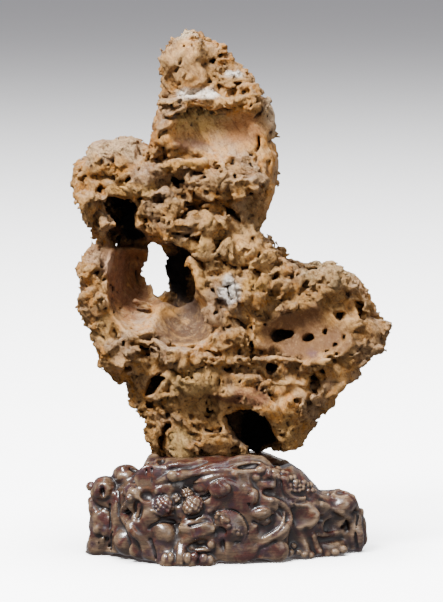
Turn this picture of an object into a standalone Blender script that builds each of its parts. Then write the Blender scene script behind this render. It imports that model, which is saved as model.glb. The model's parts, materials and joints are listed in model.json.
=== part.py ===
"""A scholars' rock of pitted brown limestone, standing in a carved hardwood stand.

Two solids: the rock, which water bored into caves, ledges and scoops, and the
stand, one block carved into roots, knobs and fungus caps with a seat cut to the
rock's foot. All lengths below are millimetres; MM turns them into metres.
The rock's broad face looks along -Y, and the stand's underside lies on z = 0.
"""

import math
from collections import namedtuple

import bmesh
import bpy
from mathutils import Matrix, Vector

MM = 0.001

# Driving sizes of the whole piece.
ROCK_VOXEL = 2.6
STAND_VOXEL = 2.0
ROCK_TRIANGLES = 5700
STAND_TRIANGLES = 3900
SEAT_GAP = 0.45
FLAT_REACH = 0.4

# A rounded form: centre, half-sizes, and how far it leans anticlockwise, in
# degrees, as seen from the front.
Form = namedtuple("Form", "at size lean", defaults=(0,))
# A ridge: the points that it follows, and its half-thickness.
Rib = namedtuple("Rib", "route radius")
# A hole bored from the front or the back: x and z of its mouth, half-width,
# half-height and lean.
Bore = namedtuple("Bore", "x z wide high lean", defaults=(0,))

# The rock's outline as seen from the front, clockwise from the summit: x, z.
OUTLINE = (
    (-22, 400), (-9, 391), (3, 378), (17, 363), (27, 350), (33, 332), (29, 308), (34, 283),
    (25, 263), (22, 250), (38, 232), (53, 222), (76, 224), (90, 215), (103, 203), (109, 190),
    (124, 173), (118, 157), (100, 141), (86, 127), (80, 112), (66, 99), (54, 84), (44, 80),
    (20, 72), (-42, 68), (-51, 78), (-53, 92), (-53, 104), (-63, 119), (-67, 130), (-87, 144),
    (-94, 160), (-101, 172), (-109, 190), (-104, 204), (-112, 218), (-106, 230), (-91, 241),
    (-103, 256), (-113, 274), (-112, 286), (-119, 297), (-103, 304), (-100, 314), (-72, 318),
    (-60, 310), (-50, 336), (-47, 360), (-49, 379), (-43, 390), (-34, 398),
)
# How deep the rock is behind and in front of its middle at each height: z, half-depth, middle.
DEPTHS = ((66, 28, 0), (100, 33, 0), (150, 37, -2), (190, 36, -3), (230, 33, -2), (280, 33, 0),
          (330, 31, 1), (352, 28, 4), (375, 24, 6), (401, 19, 7))
EDGE_ROUND = 26
EDGE_FLAT = 10

RELIEF = {
    "brow ledge": Form((-16, -26, 343), (29, 18, 6), 1),
    "rough belt": Form((-2, -32, 288), (31, 17, 15)),
    "left face": Form((-34, -12, 376), (13, 14, 22), 4),
    "right shoulder": Form((16, -18, 343), (15, 18, 15), -40),
    "upper left": Form((-40, -22, 318), (14, 18, 20), 12),
    "shoulder top": Form((-84, -16, 301), (21, 24, 14)),
    "shoulder knob": Form((-107, -2, 294), (12, 20, 9)),
    "shoulder side": Form((-104, -14, 268), (10, 28, 19)),
    "shoulder tip": Form((-96, -24, 253), (9, 20, 8), -20),
    "neck lump": Form((-64, -26, 288), (16, 20, 14), 15),
    "cave brow": Form((-49, -32, 265), (19, 18, 17)),
    "cave brow lip": Form((-44, -36, 251), (13, 12, 8)),
    "right brow": Form((-14, -36, 256), (20, 13, 11), 25),
    "column top": Form((12, -22, 236), (24, 26, 18), -25),
    "column": Form((14, -20, 205), (27, 31, 28)),
    "smooth facet": Form((-17, -36, 238), (12, 12, 9), -10),
    "tooth": Form((7, -40, 172), (7, 12, 11)),
    "small tooth": Form((-3, -36, 164), (8, 12, 7), 20),
    "floor lip": Form((-24, -36, 154), (48, 17, 8), -4),
    "lobe crest": Form((80, -8, 208), (26, 32, 14)),
    "lobe tip": Form((106, -4, 175), (15, 28, 15)),
    "lobe belly": Form((76, -20, 152), (26, 26, 12), 30),
    "keel": Form((56, -14, 121), (18, 26, 17), 40),
    "hip": Form((-76, -18, 160), (18, 32, 18), -20),
    "wall lump": Form((-102, -10, 222), (11, 32, 15)),
    "wall belly": Form((-94, -16, 196), (14, 32, 18)),
    "overhang": Form((-24, -38, 138), (20, 14, 12)),
    "foot": Form((-30, -20, 94), (14, 21, 24)),
    "left foot": Form((-51, -14, 98), (5, 20, 18), 8),
    "back crest": Form((-2, 26, 306), (28, 22, 34), 14),
    "back shelf": Form((4, 30, 268), (22, 22, 14), -16),
    "back brow": Form((-74, 22, 292), (32, 22, 16), 6),
    "back cheek": Form((-98, 18, 214), (12, 24, 20), -6),
    "back column": Form((12, 24, 226), (20, 26, 26), -24),
    "back boss": Form((34, 32, 196), (24, 22, 20), 20),
    "back lobe": Form((82, 18, 190), (28, 24, 22), 10),
    "back lobe foot": Form((66, 26, 146), (24, 20, 14), 32),
    "back hip": Form((-74, 24, 168), (20, 24, 22), -24),
    "back belly": Form((-22, 30, 152), (36, 22, 16), -8),
    "back keel": Form((34, 24, 116), (22, 22, 18), 34),
    "back foot": Form((-26, 20, 92), (22, 22, 22)),
    "back peak": Form((-24, 14, 366), (18, 18, 24), 8),
}
HOLLOWS = {
    "upper cave": Form((-80, -36, 262), (11.5, 46, 15.5)),
    "cave throat": Form((-75, -38, 242), (13, 44, 16)),
    "cave": Form((-66, -58, 213), (26, 80, 40), 8),
    "cave right": Form((-36, -24, 214), (15, 34, 20)),
    "cave floor": Form((-33, -54, 186), (27, 48, 24), -22),
    "window": Form((-54, 20, 217), (9.5, 90, 22)),
    "brow scoop": Form((-7, -52, 326), (36, 26, 16)),
    "above the ledge": Form((-14, -50, 372), (60, 26, 22)),
    "lobe scoop": Form((57, -60, 176), (34, 28, 18)),
    "tip scoop": Form((96, -44, 190), (8, 18, 10)),
    "band scoop": Form((28, -56, 145), (38, 14, 6), -3),
    "lower cave": Form((21, -44, 88), (18, 54, 27), 12),
    "lower cave roof": Form((12, -58, 111), (25, 30, 21), -22),
    "under the leg": Form((54, -34, 66), (26, 44, 16), -8),
    "shin recess": Form((-24, -50, 112), (17, 12, 11)),
    "strut gap": Form((-46, -34, 89), (2.6, 30, 12), -4),
    "back cave": Form((-24, 50, 242), (22, 26, 15), 34),
    "back window": Form((-56, 48, 215), (15, 28, 25), 8),
    "back waist": Form((34, 54, 254), (30, 32, 13), -34),
    "back lobe scoop": Form((92, 54, 160), (26, 30, 12), 40),
    "back strait": Form((52, 54, 172), (9, 24, 24), -24),
    "back groove": Form((-34, 50, 334), (26, 26, 9), 40),
    "back neck": Form((-52, 54, 306), (9, 28, 20), 18),
    "back upper scoop": Form((18, 48, 344), (22, 22, 13), -52),
    "back lower cave": Form((-30, 54, 124), (30, 34, 13), -12),
    "back low notch": Form((14, 54, 136), (12, 26, 12), 20),
    "back shoulder bite": Form((-92, 36, 258), (14, 24, 12), -20),
    "right bite": Form((98, 4, 128), (12, 14, 10), 35),
    "back arch mouth": Form((14, 54, 84), (14, 24, 18), -6),
}
RIBS = {
    "ledge edge": Rib(((-43, -36, 344), (-20, -39, 345), (4, -37, 346), (20, -33, 347)), 4),
    "left ridge": Rib(((-42, -34, 343), (-44, -34, 328), (-50, -33, 313), (-60, -30, 301)), 6),
    "right roll": Rib(((28, -14, 348), (29, -18, 326), (26, -20, 300), (27, -18, 280), (22, -16, 264)), 9),
    "ochre band": Rib(((-52, -36, 294), (-36, -40, 298), (-20, -40, 303)), 4.5),
    "cave rim right": Rib(((-28, -34, 224), (-16, -38, 210), (-9, -40, 198), (-9, -40, 184)), 4.5),
    "cave shelf": Rib(((-64, -12, 193), (-48, -16, 185), (-30, -18, 180)), 5),
    "first band": Rib(((-84, -38, 178), (-66, -44, 172), (-48, -46, 162), (-28, -48, 154), (-6, -49, 152),
                       (16, -48, 155), (40, -46, 154), (66, -44, 152), (90, -36, 155)), 4.5),
    "second band": Rib(((-8, -47, 139), (16, -47, 138), (40, -45, 135), (62, -40, 136)), 4.5),
    "arch": Rib(((-4, -44, 131), (12, -46, 129), (26, -44, 121), (36, -40, 110), (41, -34, 98),
                 (44, -30, 88)), 7),
    "tip flap": Rib(((104, -14, 196), (112, -12, 186), (120, -8, 175)), 5),
    "back ridge": Rib(((-40, 34, 352), (-16, 40, 326), (6, 44, 300), (16, 46, 268), (4, 48, 240)), 7),
    "back rim": Rib(((-96, 34, 214), (-82, 42, 184), (-56, 46, 168), (-24, 46, 166), (6, 44, 180)), 7),
    "back band": Rib(((-70, 38, 140), (-34, 44, 148), (6, 46, 150), (48, 44, 138), (84, 30, 150)), 6),
    "back arch": Rib(((-52, 34, 100), (-30, 44, 112), (0, 46, 110), (30, 40, 96)), 7),
}
FRONT_BORES = (
    Bore(42, 171, 8.5, 5.2, 8), Bore(62, 168, 5.5, 3.6, 14), Bore(88, 186, 4, 6, 10),
    Bore(104, 189, 3.5, 9, 14), Bore(36, 145, 5.5, 4.6, -28), Bore(68, 131, 5, 7.5, 6),
    Bore(26, 220, 3.4, 4.6, 14), Bore(40, 225, 6, 2.4, 16), Bore(-51, 275, 4.4, 3.8),
    Bore(-27, 264, 11, 3.8, 40), Bore(-8, 267, 4, 6, 20), Bore(5, 261, 10, 3.6, -48),
    Bore(18, 277, 3, 6, 12), Bore(-66, 296, 3.6, 5, -28), Bore(-75, 290, 3, 4.6, -14),
    Bore(-62, 160, 9, 3.4, -32), Bore(-54, 133, 9, 4.6, 14), Bore(-57, 116, 5, 4.8),
    Bore(-73, 146, 7, 3.4, -25), Bore(-100, 218, 5.5, 3, 12), Bore(-99, 261, 4, 3, -10),
    Bore(-20, 224, 8, 3.4, -42), Bore(-14, 161, 9, 3, -18), Bore(19, 347, 8, 3, 26),
    Bore(-9, 377, 4, 4, -30), Bore(-58, 305, 6, 3.4, 38), Bore(-12, 114, 4, 6.5),
    Bore(-36, 288, 6, 3, 24), Bore(25, 315, 2.6, 6, -8), Bore(20, 165, 3.4, 5),
)
BACK_BORES = (
    Bore(20, 330, 6, 4, 20), Bore(-34, 300, 5, 8, -20), Bore(-86, 300, 6, 4, 10),
    Bore(-4, 268, 8, 4, 35), Bore(40, 205, 6, 8, -14), Bore(92, 184, 7, 5, 12),
    Bore(4, 196, 4, 6), Bore(50, 170, 5, 4), Bore(-90, 190, 5, 8, 14),
    Bore(-40, 142, 8, 4, -18), Bore(20, 132, 5, 6, 10), Bore(66, 118, 5, 7, -24),
    Bore(-44, 96, 4, 7), Bore(-20, 372, 4, 7, 16),
)
# The bores start on these planes and run inwards this far.
BORE_PLANE = 44
BORE_REACH = 20

STAND_FORMS = {
    "block": Form((-4, 0, 31), (84, 52, 27)),
    "seat mound": Form((-12, -2, 58), (58, 46, 20)),
    "base pad": Form((0, 0, 8), (66, 36, 14)),
    "left end": Form((-82, 2, 28), (21, 38, 26)),
    "left knob": Form((-91, -22, 55), (9, 11, 10)),
    "left horn": Form((-75, -14, 64), (10, 13, 9), -10),
    "left spike": Form((-102, -4, 53), (3.5, 4, 4)),
    "left thorn": Form((-102, -8, 42), (4, 5, 5)),
    "left column": Form((-95, -12, 33), (8, 13, 15)),
    "left toe": Form((-97, -6, 4), (9, 11, 6)),
    "left second toe": Form((-87, -16, 3), (7, 10, 6)),
    "left roll": Form((-84, -28, 30), (4.5, 9, 17)),
    "left ball": Form((-77, -36, 15), (10, 11, 10)),
    "centre ball": Form((-46, -59, 23), (10, 9, 10)),
    "belly": Form((-58, -46, 26), (16, 14, 24)),
    "left berries": Form((-46, -56, 44), (8.5, 8, 8)),
    "right berries": Form((-23, -60, 47), (10, 8, 8)),
    "top berries": Form((-29, -57, 57), (7, 7, 6)),
    "spiral fungus": Form((1, -60, 31), (12, 9, 13)),
    "paw": Form((-21, -61, 14), (14, 9, 10)),
    "paw heel": Form((-42, -58, 6), (9, 10, 8)),
    "first toe": Form((-44, -62, 2), (6, 7, 6)),
    "second toe": Form((-28, -64, 2), (6, 6, 6)),
    "third toe": Form((-17, -63, 2), (6, 6, 6)),
    "middle knob": Form((-4, -56, 57), (8, 8, 7)),
    "bract": Form((14, -54, 51), (11, 9, 12), 12),
    "fungus cap": Form((29, -50, 31), (23, 9, 15), 24),
    "saucer": Form((27, -58, 37), (10, 6, 7)),
    "under the cap": Form((36, -34, 16), (20, 18, 15)),
    "rocky crest": Form((46, -12, 55), (19, 28, 14), -26),
    "rocky flank": Form((54, -30, 44), (20, 20, 18), -16),
    "right block": Form((70, 0, 26), (30, 42, 20)),
    "right knob": Form((88, -8, 43), (9, 15, 9)),
    "right end": Form((95, 6, 23), (8, 26, 19)),
    "right foot": Form((55, -32, 4), (10, 10, 6)),
    "right second foot": Form((70, -28, 4), (8, 10, 6)),
    "right toe": Form((84, -18, 3), (8, 10, 6)),
    "right heel": Form((94, 14, 4), (8, 14, 7)),
    "back mound": Form((-20, 44, 44), (34, 18, 24)),
    "back berries": Form((16, 54, 48), (11, 9, 9)),
    "back fungus cap": Form((-44, 54, 34), (20, 9, 13), -20),
    "back saucer": Form((46, 48, 30), (15, 10, 12), 30),
    "back ball": Form((-74, 34, 18), (11, 12, 11)),
    "back paw": Form((0, 56, 13), (15, 9, 12)),
    "back toe": Form((-10, 60, 3), (6, 6, 6)),
    "back second toe": Form((4, 61, 3), (6, 6, 6)),
    "back left foot": Form((-66, 38, 4), (12, 12, 7)),
    "back right foot": Form((66, 34, 4), (12, 12, 7)),
    "back horn": Form((-72, 22, 58), (11, 12, 9)),
    "back right knob": Form((74, 28, 36), (12, 12, 9)),
}
STAND_HOLLOWS = {
    "left ring": Form((-93, -35, 54), (4.5, 8, 4.5)),
    "left neck": Form((-84, -30, 50), (5, 10, 4)),
    "loop": Form((-65, -62, 41), (6, 9, 9), -8),
    "belly fold": Form((-52, -66, 34), (5, 9, 3), 34),
    "paw arch": Form((-36, -70, 16), (3.5, 9, 9)),
    "wall by the paw": Form((-4, -66, 10), (6, 10, 9)),
    "between knobs": Form((4, -68, 56), (4, 9, 7)),
    "cap shade": Form((20, -66, 56), (5, 8, 5)),
    "right hollow": Form((84, -34, 36), (9, 10, 4.5), -8),
    "right fold": Form((68, -42, 34), (11, 10, 4), -14),
    "right foot shade": Form((64, -44, 13), (5, 12, 9), 24),
    "left foot shade": Form((-62, -52, 4), (8, 14, 7)),
    "front foot shade": Form((12, -58, 0), (20, 18, 6)),
    "right end shade": Form((78, -34, 14), (5, 10, 5)),
    "back fold": Form((-8, 66, 34), (7, 10, 12), -20),
    "back shade": Form((34, 62, 12), (14, 12, 8)),
    "back left shade": Form((-40, 62, 12), (12, 12, 8)),
    "back ring": Form((78, 40, 44), (5, 8, 4)),
}
STAND_RIBS = {
    "loop left": Rib(((-69, -44, 58), (-75, -44, 53), (-77, -45, 44), (-74, -48, 34), (-67, -52, 26),
                      (-61, -54, 18), (-58, -55, 10), (-57, -54, 3)), 4),
    "loop right": Rib(((-69, -46, 57), (-63, -50, 53), (-58, -53, 46), (-55, -55, 38)), 3.5),
    "upright root": Rib(((-60, -38, 56), (-60, -36, 66), (-57, -30, 74), (-55, -24, 79)), 6),
    "spindle root": Rib(((-52, -46, 61), (-43, -50, 64), (-34, -50, 67), (-26, -48, 70)), 4.5),
    "long root": Rib(((-50, -50, 58), (-32, -54, 61), (-10, -54, 64), (10, -50, 68), (26, -44, 70)), 4.5),
    "upper root": Rib(((-48, -40, 70), (-26, -44, 73), (-4, -46, 74), (14, -46, 74), (29, -40, 70)), 5),
    "brow root": Rib(((-6, -36, 76), (8, -40, 79), (18, -38, 79), (26, -32, 74)), 5),
    "cap rim": Rib(((33, -52, 46), (42, -52, 43), (48, -50, 35), (46, -48, 27), (37, -50, 20),
                    (26, -54, 15), (16, -56, 13)), 2.6),
    "brim": Rib(((-33, -62, 32), (-24, -65, 34), (-16, -65, 36), (-9, -62, 33)), 2.6),
    "curl": Rib(((44, -42, 62), (46, -44, 55), (52, -45, 50), (61, -42, 49)), 2.8),
    "right ridge": Rib(((64, -36, 46), (76, -36, 44), (88, -30, 41), (96, -20, 36)), 3.4),
    "right low ridge": Rib(((66, -38, 25), (78, -34, 25), (90, -28, 26), (99, -16, 22)), 3.4),
    "end roll": Rib(((100, -6, 46), (103, -4, 36), (101, 0, 24), (102, 4, 12)), 3.4),
    "back loop": Rib(((-62, 44, 56), (-52, 50, 60), (-40, 52, 58), (-30, 54, 50), (-26, 56, 40)), 4),
    "back root": Rib(((-50, 34, 66), (-28, 42, 70), (0, 44, 68), (26, 40, 66), (44, 34, 60)), 5),
    "back low root": Rib(((-20, 56, 24), (0, 60, 26), (22, 58, 24), (40, 50, 18)), 4),
    "left end root": Rib(((-98, 6, 46), (-102, 12, 34), (-99, 18, 20), (-94, 22, 6)), 4),
}
FLOOR_BLOCK = (240, 200, 40)


def clear_scene():
    """Empties the scene of the objects it starts with."""
    for obj in list(bpy.data.objects):
        bpy.data.objects.remove(obj)


def evaluated_mesh(obj):
    """The object's mesh with its modifiers carried out."""
    graph = bpy.context.evaluated_depsgraph_get()
    return bpy.data.meshes.new_from_object(obj.evaluated_get(graph))


def carry_out(obj):
    """Replaces the object's mesh by its evaluated mesh and drops its modifiers."""
    bpy.context.view_layer.update()
    mesh = evaluated_mesh(obj)
    obj.modifiers.clear()
    obj.data = mesh


def add_form(bm, form, subdivisions=3):
    """Adds one rounded form to a mesh under construction."""
    turn = Matrix.Rotation(math.radians(-form.lean), 4, "Y")
    place = Matrix.Translation(Vector(form.at) * MM)
    scale = Matrix.Diagonal((*(Vector(form.size) * MM), 1))
    bmesh.ops.create_icosphere(bm, subdivisions=subdivisions, radius=1, matrix=place @ turn @ scale)


def depth_at(height):
    """The rock's half-depth and middle at a height, read between the rows of DEPTHS."""
    for low, high in zip(DEPTHS, DEPTHS[1:]):
        if height <= high[0]:
            share = max(0, (height - low[0]) / (high[0] - low[0]))
            return [a + (b - a) * share for a, b in zip(low[1:], high[1:])]
    return DEPTHS[-1][1:]


def body_mesh():
    """The outline thickened into a body with round edges, as deep as DEPTHS says."""
    curve = bpy.data.curves.new("outline", "CURVE")
    curve.dimensions = "2D"
    curve.fill_mode = "BOTH"
    curve.extrude = EDGE_FLAT * MM
    curve.bevel_depth = EDGE_ROUND * MM
    curve.bevel_resolution = 6
    curve.offset = -EDGE_ROUND * MM
    spline = curve.splines.new("POLY")
    spline.points.add(len(OUTLINE) - 1)
    for point, (x, z) in zip(spline.points, OUTLINE):
        point.co = (x * MM, z * MM, 0, 1)
    spline.use_cyclic_u = True
    guide = bpy.data.objects.new("outline", curve)
    bpy.context.scene.collection.objects.link(guide)
    mesh = evaluated_mesh(guide)
    bpy.data.objects.remove(guide)
    for vert in mesh.vertices:
        x, z, y = vert.co
        half, middle = depth_at(z / MM)
        vert.co = (x, -y * half / (EDGE_FLAT + EDGE_ROUND) + middle * MM, z)
    return mesh


def add_rib(bm, rib):
    """Adds a ridge: a row of balls close enough together to fuse."""
    for start, end in zip(rib.route, rib.route[1:]):
        start, end = Vector(start), Vector(end)
        steps = math.ceil((end - start).length / (0.6 * rib.radius))
        for step in range(steps + 1):
            add_form(bm, Form(start.lerp(end, step / steps), (rib.radius,) * 3), 1)


def bore_form(bore, side):
    """The long rounded cutter of one bore; side is -1 for the front and 1 for the back."""
    return Form((bore.x, side * BORE_PLANE, bore.z), (bore.wide, BORE_REACH, bore.high), bore.lean)


def solid_of(name, voxel, forms=(), ribs=(), start=None):
    """One closed body fused from rounded forms and ribs, and from a first mesh if it has one."""
    bm = bmesh.new()
    for form in forms:
        add_form(bm, form)
    for rib in ribs:
        add_rib(bm, rib)
    if start:
        bm.from_mesh(start)
    mesh = bpy.data.meshes.new(name)
    bm.to_mesh(mesh)
    bm.free()
    obj = bpy.data.objects.new(name, mesh)
    bpy.context.scene.collection.objects.link(obj)
    fuse(obj, voxel)
    return obj


def fuse(obj, voxel):
    """Rebuilds the object as one even skin, which joins what overlaps."""
    remesh = obj.modifiers.new("fuse", "REMESH")
    remesh.mode = "VOXEL"
    remesh.voxel_size = voxel * MM
    carry_out(obj)


def carve(obj, cutter):
    """Takes the cutter's shape out of the object."""
    cut = obj.modifiers.new("carve", "BOOLEAN")
    cut.operation = "DIFFERENCE"
    cut.object = cutter
    carry_out(obj)
    bpy.data.objects.remove(cutter)


def soften(obj, rounds):
    """Rounds the creases where forms meet."""
    smooth = obj.modifiers.new("soften", "SMOOTH")
    smooth.factor = 0.5
    smooth.iterations = rounds
    carry_out(obj)


def weather(obj, name, kind, scale, strength, level=0.5):
    """Pushes the skin in and out by a solid noise of a real size."""
    texture = bpy.data.textures.new(name, kind)
    texture.noise_scale = scale * MM
    if kind == "CLOUDS":
        texture.noise_depth = 3
    displace = obj.modifiers.new(name, "DISPLACE")
    displace.texture = texture
    displace.texture_coords = "LOCAL"
    displace.strength = strength * MM
    displace.mid_level = level
    carry_out(obj)


def largest_body(obj):
    """Drops every loose crumb, and fills sealed hollows, so that one shell is left."""
    bm = bmesh.new()
    bm.from_mesh(obj.data)
    bm.verts.ensure_lookup_table()
    seen = set()
    shells = []
    for start in bm.verts:
        if start in seen:
            continue
        shell = [start]
        seen.add(start)
        for vert in shell:
            for edge in vert.link_edges:
                other = edge.other_vert(vert)
                if other not in seen:
                    seen.add(other)
                    shell.append(other)
        shells.append(shell)
    shells.sort(key=len)
    crumbs = [vert for shell in shells[:-1] for vert in shell]
    bmesh.ops.delete(bm, geom=crumbs, context="VERTS")
    bm.to_mesh(obj.data)
    bm.free()


def thin_out(obj, triangles):
    """Keeps about this many triangles, most of them where the skin bends most."""
    faces = sum(len(face.vertices) - 2 for face in obj.data.polygons)
    decimate = obj.modifiers.new("thin out", "DECIMATE")
    decimate.ratio = triangles / faces
    carry_out(obj)


def finish_of(name, color, roughness):
    """A plain material of the sub-part's own colour."""
    material = bpy.data.materials.new(name)
    material.use_nodes = True
    shader = material.node_tree.nodes["Principled BSDF"]
    shader.inputs["Base Color"].default_value = (*color, 1)
    shader.inputs["Roughness"].default_value = roughness
    return material


def make_rock():
    """The limestone: lumps fused, hollows carved, ribs laid over them, holes bored, then weathered."""
    rock = solid_of("rock", ROCK_VOXEL, RELIEF.values(), start=body_mesh())
    carve(rock, solid_of("hollows", ROCK_VOXEL, HOLLOWS.values()))
    carved = rock.data
    bpy.data.objects.remove(rock)
    rock = solid_of("rock", ROCK_VOXEL, ribs=RIBS.values(), start=carved)
    bores = [bore_form(bore, -1) for bore in FRONT_BORES]
    bores += [bore_form(bore, 1) for bore in BACK_BORES]
    carve(rock, solid_of("bores", ROCK_VOXEL / 2, bores))
    fuse(rock, ROCK_VOXEL)
    soften(rock, 2)
    weather(rock, "boulders", "CLOUDS", 34, 9)
    weather(rock, "lumps", "CLOUDS", 11, 5)
    largest_body(rock)
    thin_out(rock, ROCK_TRIANGLES)
    rock.data.materials.append(finish_of("limestone", (0.38, 0.26, 0.14), 0.85))
    return rock


def add_box(name, size, top):
    """A plain block, centred on the Z axis, whose upper face lies at the height of top."""
    bm = bmesh.new()
    place = Matrix.Translation(Vector((0, 0, top - size[2] / 2)) * MM)
    bmesh.ops.create_cube(bm, size=1, matrix=place @ Matrix.Diagonal((*(Vector(size) * MM), 1)))
    mesh = bpy.data.meshes.new(name)
    bm.to_mesh(mesh)
    bm.free()
    obj = bpy.data.objects.new(name, mesh)
    bpy.context.scene.collection.objects.link(obj)
    return obj


def grown_copy(obj, name, distance):
    """A copy of the object whose skin stands off by the distance."""
    copy = bpy.data.objects.new(name, obj.data.copy())
    bpy.context.scene.collection.objects.link(copy)
    grow = copy.modifiers.new("grow", "DISPLACE")
    grow.strength = distance * MM
    grow.mid_level = 0
    carry_out(copy)
    return copy


def flatten_underside(obj):
    """Puts every point within a hair of z = 0 exactly on it."""
    for vert in obj.data.vertices:
        if vert.co.z < FLAT_REACH * MM:
            vert.co.z = 0


def make_stand(rock):
    """The stand: a block with carved roots, knobs and caps, cut flat below and to the rock above."""
    stand = solid_of("stand", STAND_VOXEL, STAND_FORMS.values())
    carve(stand, solid_of("stand hollows", STAND_VOXEL, STAND_HOLLOWS.values()))
    carved = stand.data
    bpy.data.objects.remove(stand)
    stand = solid_of("stand", STAND_VOXEL, ribs=STAND_RIBS.values(), start=carved)
    soften(stand, 2)
    weather(stand, "carving", "CLOUDS", 11, 3)
    fuse(stand, STAND_VOXEL)
    carve(stand, add_box("floor", FLOOR_BLOCK, 0))
    largest_body(stand)
    thin_out(stand, STAND_TRIANGLES)
    flatten_underside(stand)
    for share in (1, 0.5):
        # A fold in the rock can turn inside out as it grows, and the lesser growth clears it.
        carve(stand, grown_copy(rock, "seat", share * SEAT_GAP))
    largest_body(stand)
    stand.data.materials.clear()
    stand.data.materials.append(finish_of("dark hardwood", (0.07, 0.035, 0.025), 0.35))
    return stand


def main():
    """Builds the rock and its stand."""
    clear_scene()
    rock = make_rock()
    make_stand(rock)


main()
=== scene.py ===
"""A scholars' rock of pitted brown limestone, resting in a carved hardwood stand.

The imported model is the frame. Both of its solids are soft stand-ins, so each is replaced by a finer
piece that is shaped as a sculptor would: a block of clay (a grid of signed distances) takes added
lumps and ribs, carved hollows, bored holes and weathering, and its skin becomes the mesh.
Lengths are millimetres until a mesh is made, which is in metres.
"""

from __future__ import annotations

import json
import logging
import math
from dataclasses import dataclass, field
from enum import IntEnum

import bpy
import numpy as np
import openvdb
from mathutils import Matrix, Vector

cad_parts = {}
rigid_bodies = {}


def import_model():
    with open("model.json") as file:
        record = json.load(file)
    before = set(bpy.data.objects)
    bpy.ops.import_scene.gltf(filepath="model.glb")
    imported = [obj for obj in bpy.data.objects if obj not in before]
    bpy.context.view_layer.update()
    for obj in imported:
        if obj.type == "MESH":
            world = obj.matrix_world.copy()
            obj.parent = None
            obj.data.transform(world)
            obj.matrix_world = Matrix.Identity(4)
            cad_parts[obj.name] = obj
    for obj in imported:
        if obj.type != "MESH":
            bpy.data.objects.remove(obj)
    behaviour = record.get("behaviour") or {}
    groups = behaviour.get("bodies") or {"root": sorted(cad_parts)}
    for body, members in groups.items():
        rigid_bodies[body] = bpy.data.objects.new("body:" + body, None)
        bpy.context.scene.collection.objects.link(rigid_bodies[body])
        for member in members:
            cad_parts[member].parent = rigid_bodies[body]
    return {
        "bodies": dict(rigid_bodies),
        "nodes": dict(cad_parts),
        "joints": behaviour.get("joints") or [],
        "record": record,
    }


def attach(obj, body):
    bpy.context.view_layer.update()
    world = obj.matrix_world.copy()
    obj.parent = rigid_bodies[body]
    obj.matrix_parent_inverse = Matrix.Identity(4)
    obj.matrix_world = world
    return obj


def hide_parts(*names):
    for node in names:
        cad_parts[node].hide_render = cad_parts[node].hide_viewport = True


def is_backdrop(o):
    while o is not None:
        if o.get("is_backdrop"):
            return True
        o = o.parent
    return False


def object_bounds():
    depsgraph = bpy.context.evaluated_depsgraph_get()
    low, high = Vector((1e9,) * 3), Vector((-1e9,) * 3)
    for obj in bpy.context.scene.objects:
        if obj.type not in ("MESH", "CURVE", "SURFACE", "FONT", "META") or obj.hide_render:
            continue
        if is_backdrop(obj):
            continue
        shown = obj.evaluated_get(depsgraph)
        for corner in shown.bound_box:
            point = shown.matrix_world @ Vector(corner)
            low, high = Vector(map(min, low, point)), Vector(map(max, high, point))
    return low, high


LOG = logging.getLogger("scene")
MM = 0.001
# The distance that an empty grid holds.
FAR = 30.0
# How readily the mesher merges flat faces, from 0 to 1.
FLAT = 0.02
Triple = tuple[float, float, float]


class Side(IntEnum):
    """The side that a detail is on, as the sign of its y."""

    FRONT = -1
    BACK = 1


# ---------------------------------------------------------------- clay


@dataclass(frozen=True)
class Form:
    """A rounded lump: an ellipsoid by its centre and half-sizes.

    lean turns it anticlockwise as seen from the front, and tip leans its top towards the viewer,
    both in degrees.
    """

    at: Triple
    size: Triple
    lean: float = 0.0
    tip: float = 0.0


@dataclass(frozen=True)
class Rib:
    """A rounded ridge along a route, tapering from its first radius to its last."""

    route: tuple[Triple, ...]
    radius: float
    end: float | None = None


@dataclass(frozen=True)
class Prism:
    """A shaft with the cross-section of a polygon in x and z, running from the front to the back.

    outline is drawn where the shaft starts, and the shaft falls this much per millimetre behind.
    """

    outline: tuple[tuple[float, float], ...]
    start: float
    end: float
    fall: float = 0.113


Shape = Form | Rib | Prism


def polygon_gap(outline: tuple[tuple[float, float], ...], x: np.ndarray, z: np.ndarray) -> np.ndarray:
    """Signed distances to a polygon in the front plane, negative inside.

    Args:
        outline: The polygon's corners.
        x: The x of each point.
        z: The z of each point.

    Returns:
        The distances.
    """
    nearest = np.full(np.broadcast(x, z).shape, 1e9, np.float32)
    inside = np.zeros(nearest.shape, bool)
    for (ax, az), (bx, bz) in zip(outline, outline[1:] + outline[:1]):
        wx, wz = bx - ax, bz - az
        share = np.clip(((x - ax) * wx + (z - az) * wz) / (wx * wx + wz * wz), 0, 1)
        nearest = np.minimum(nearest, (x - ax - share * wx) ** 2 + (z - az - share * wz) ** 2)
        crosses = (az > z) != (bz > z)
        inside ^= crosses & (x < ax + wx * (z - az) / (wz if wz else 1e-9))
    return np.where(inside, -1, 1) * np.sqrt(nearest)


def turning(lean: float, tip: float) -> np.ndarray:
    """The 3 by 3 matrix that takes the world's directions to a leaning form's own.

    Args:
        lean: Degrees anticlockwise as seen from the front.
        tip: Degrees that the top comes towards the viewer.

    Returns:
        The matrix, as numpy floats.
    """
    turn = Matrix.Rotation(math.radians(-lean), 3, "Y") @ Matrix.Rotation(math.radians(tip), 3, "X")
    return np.array(turn.transposed(), np.float32)


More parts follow.
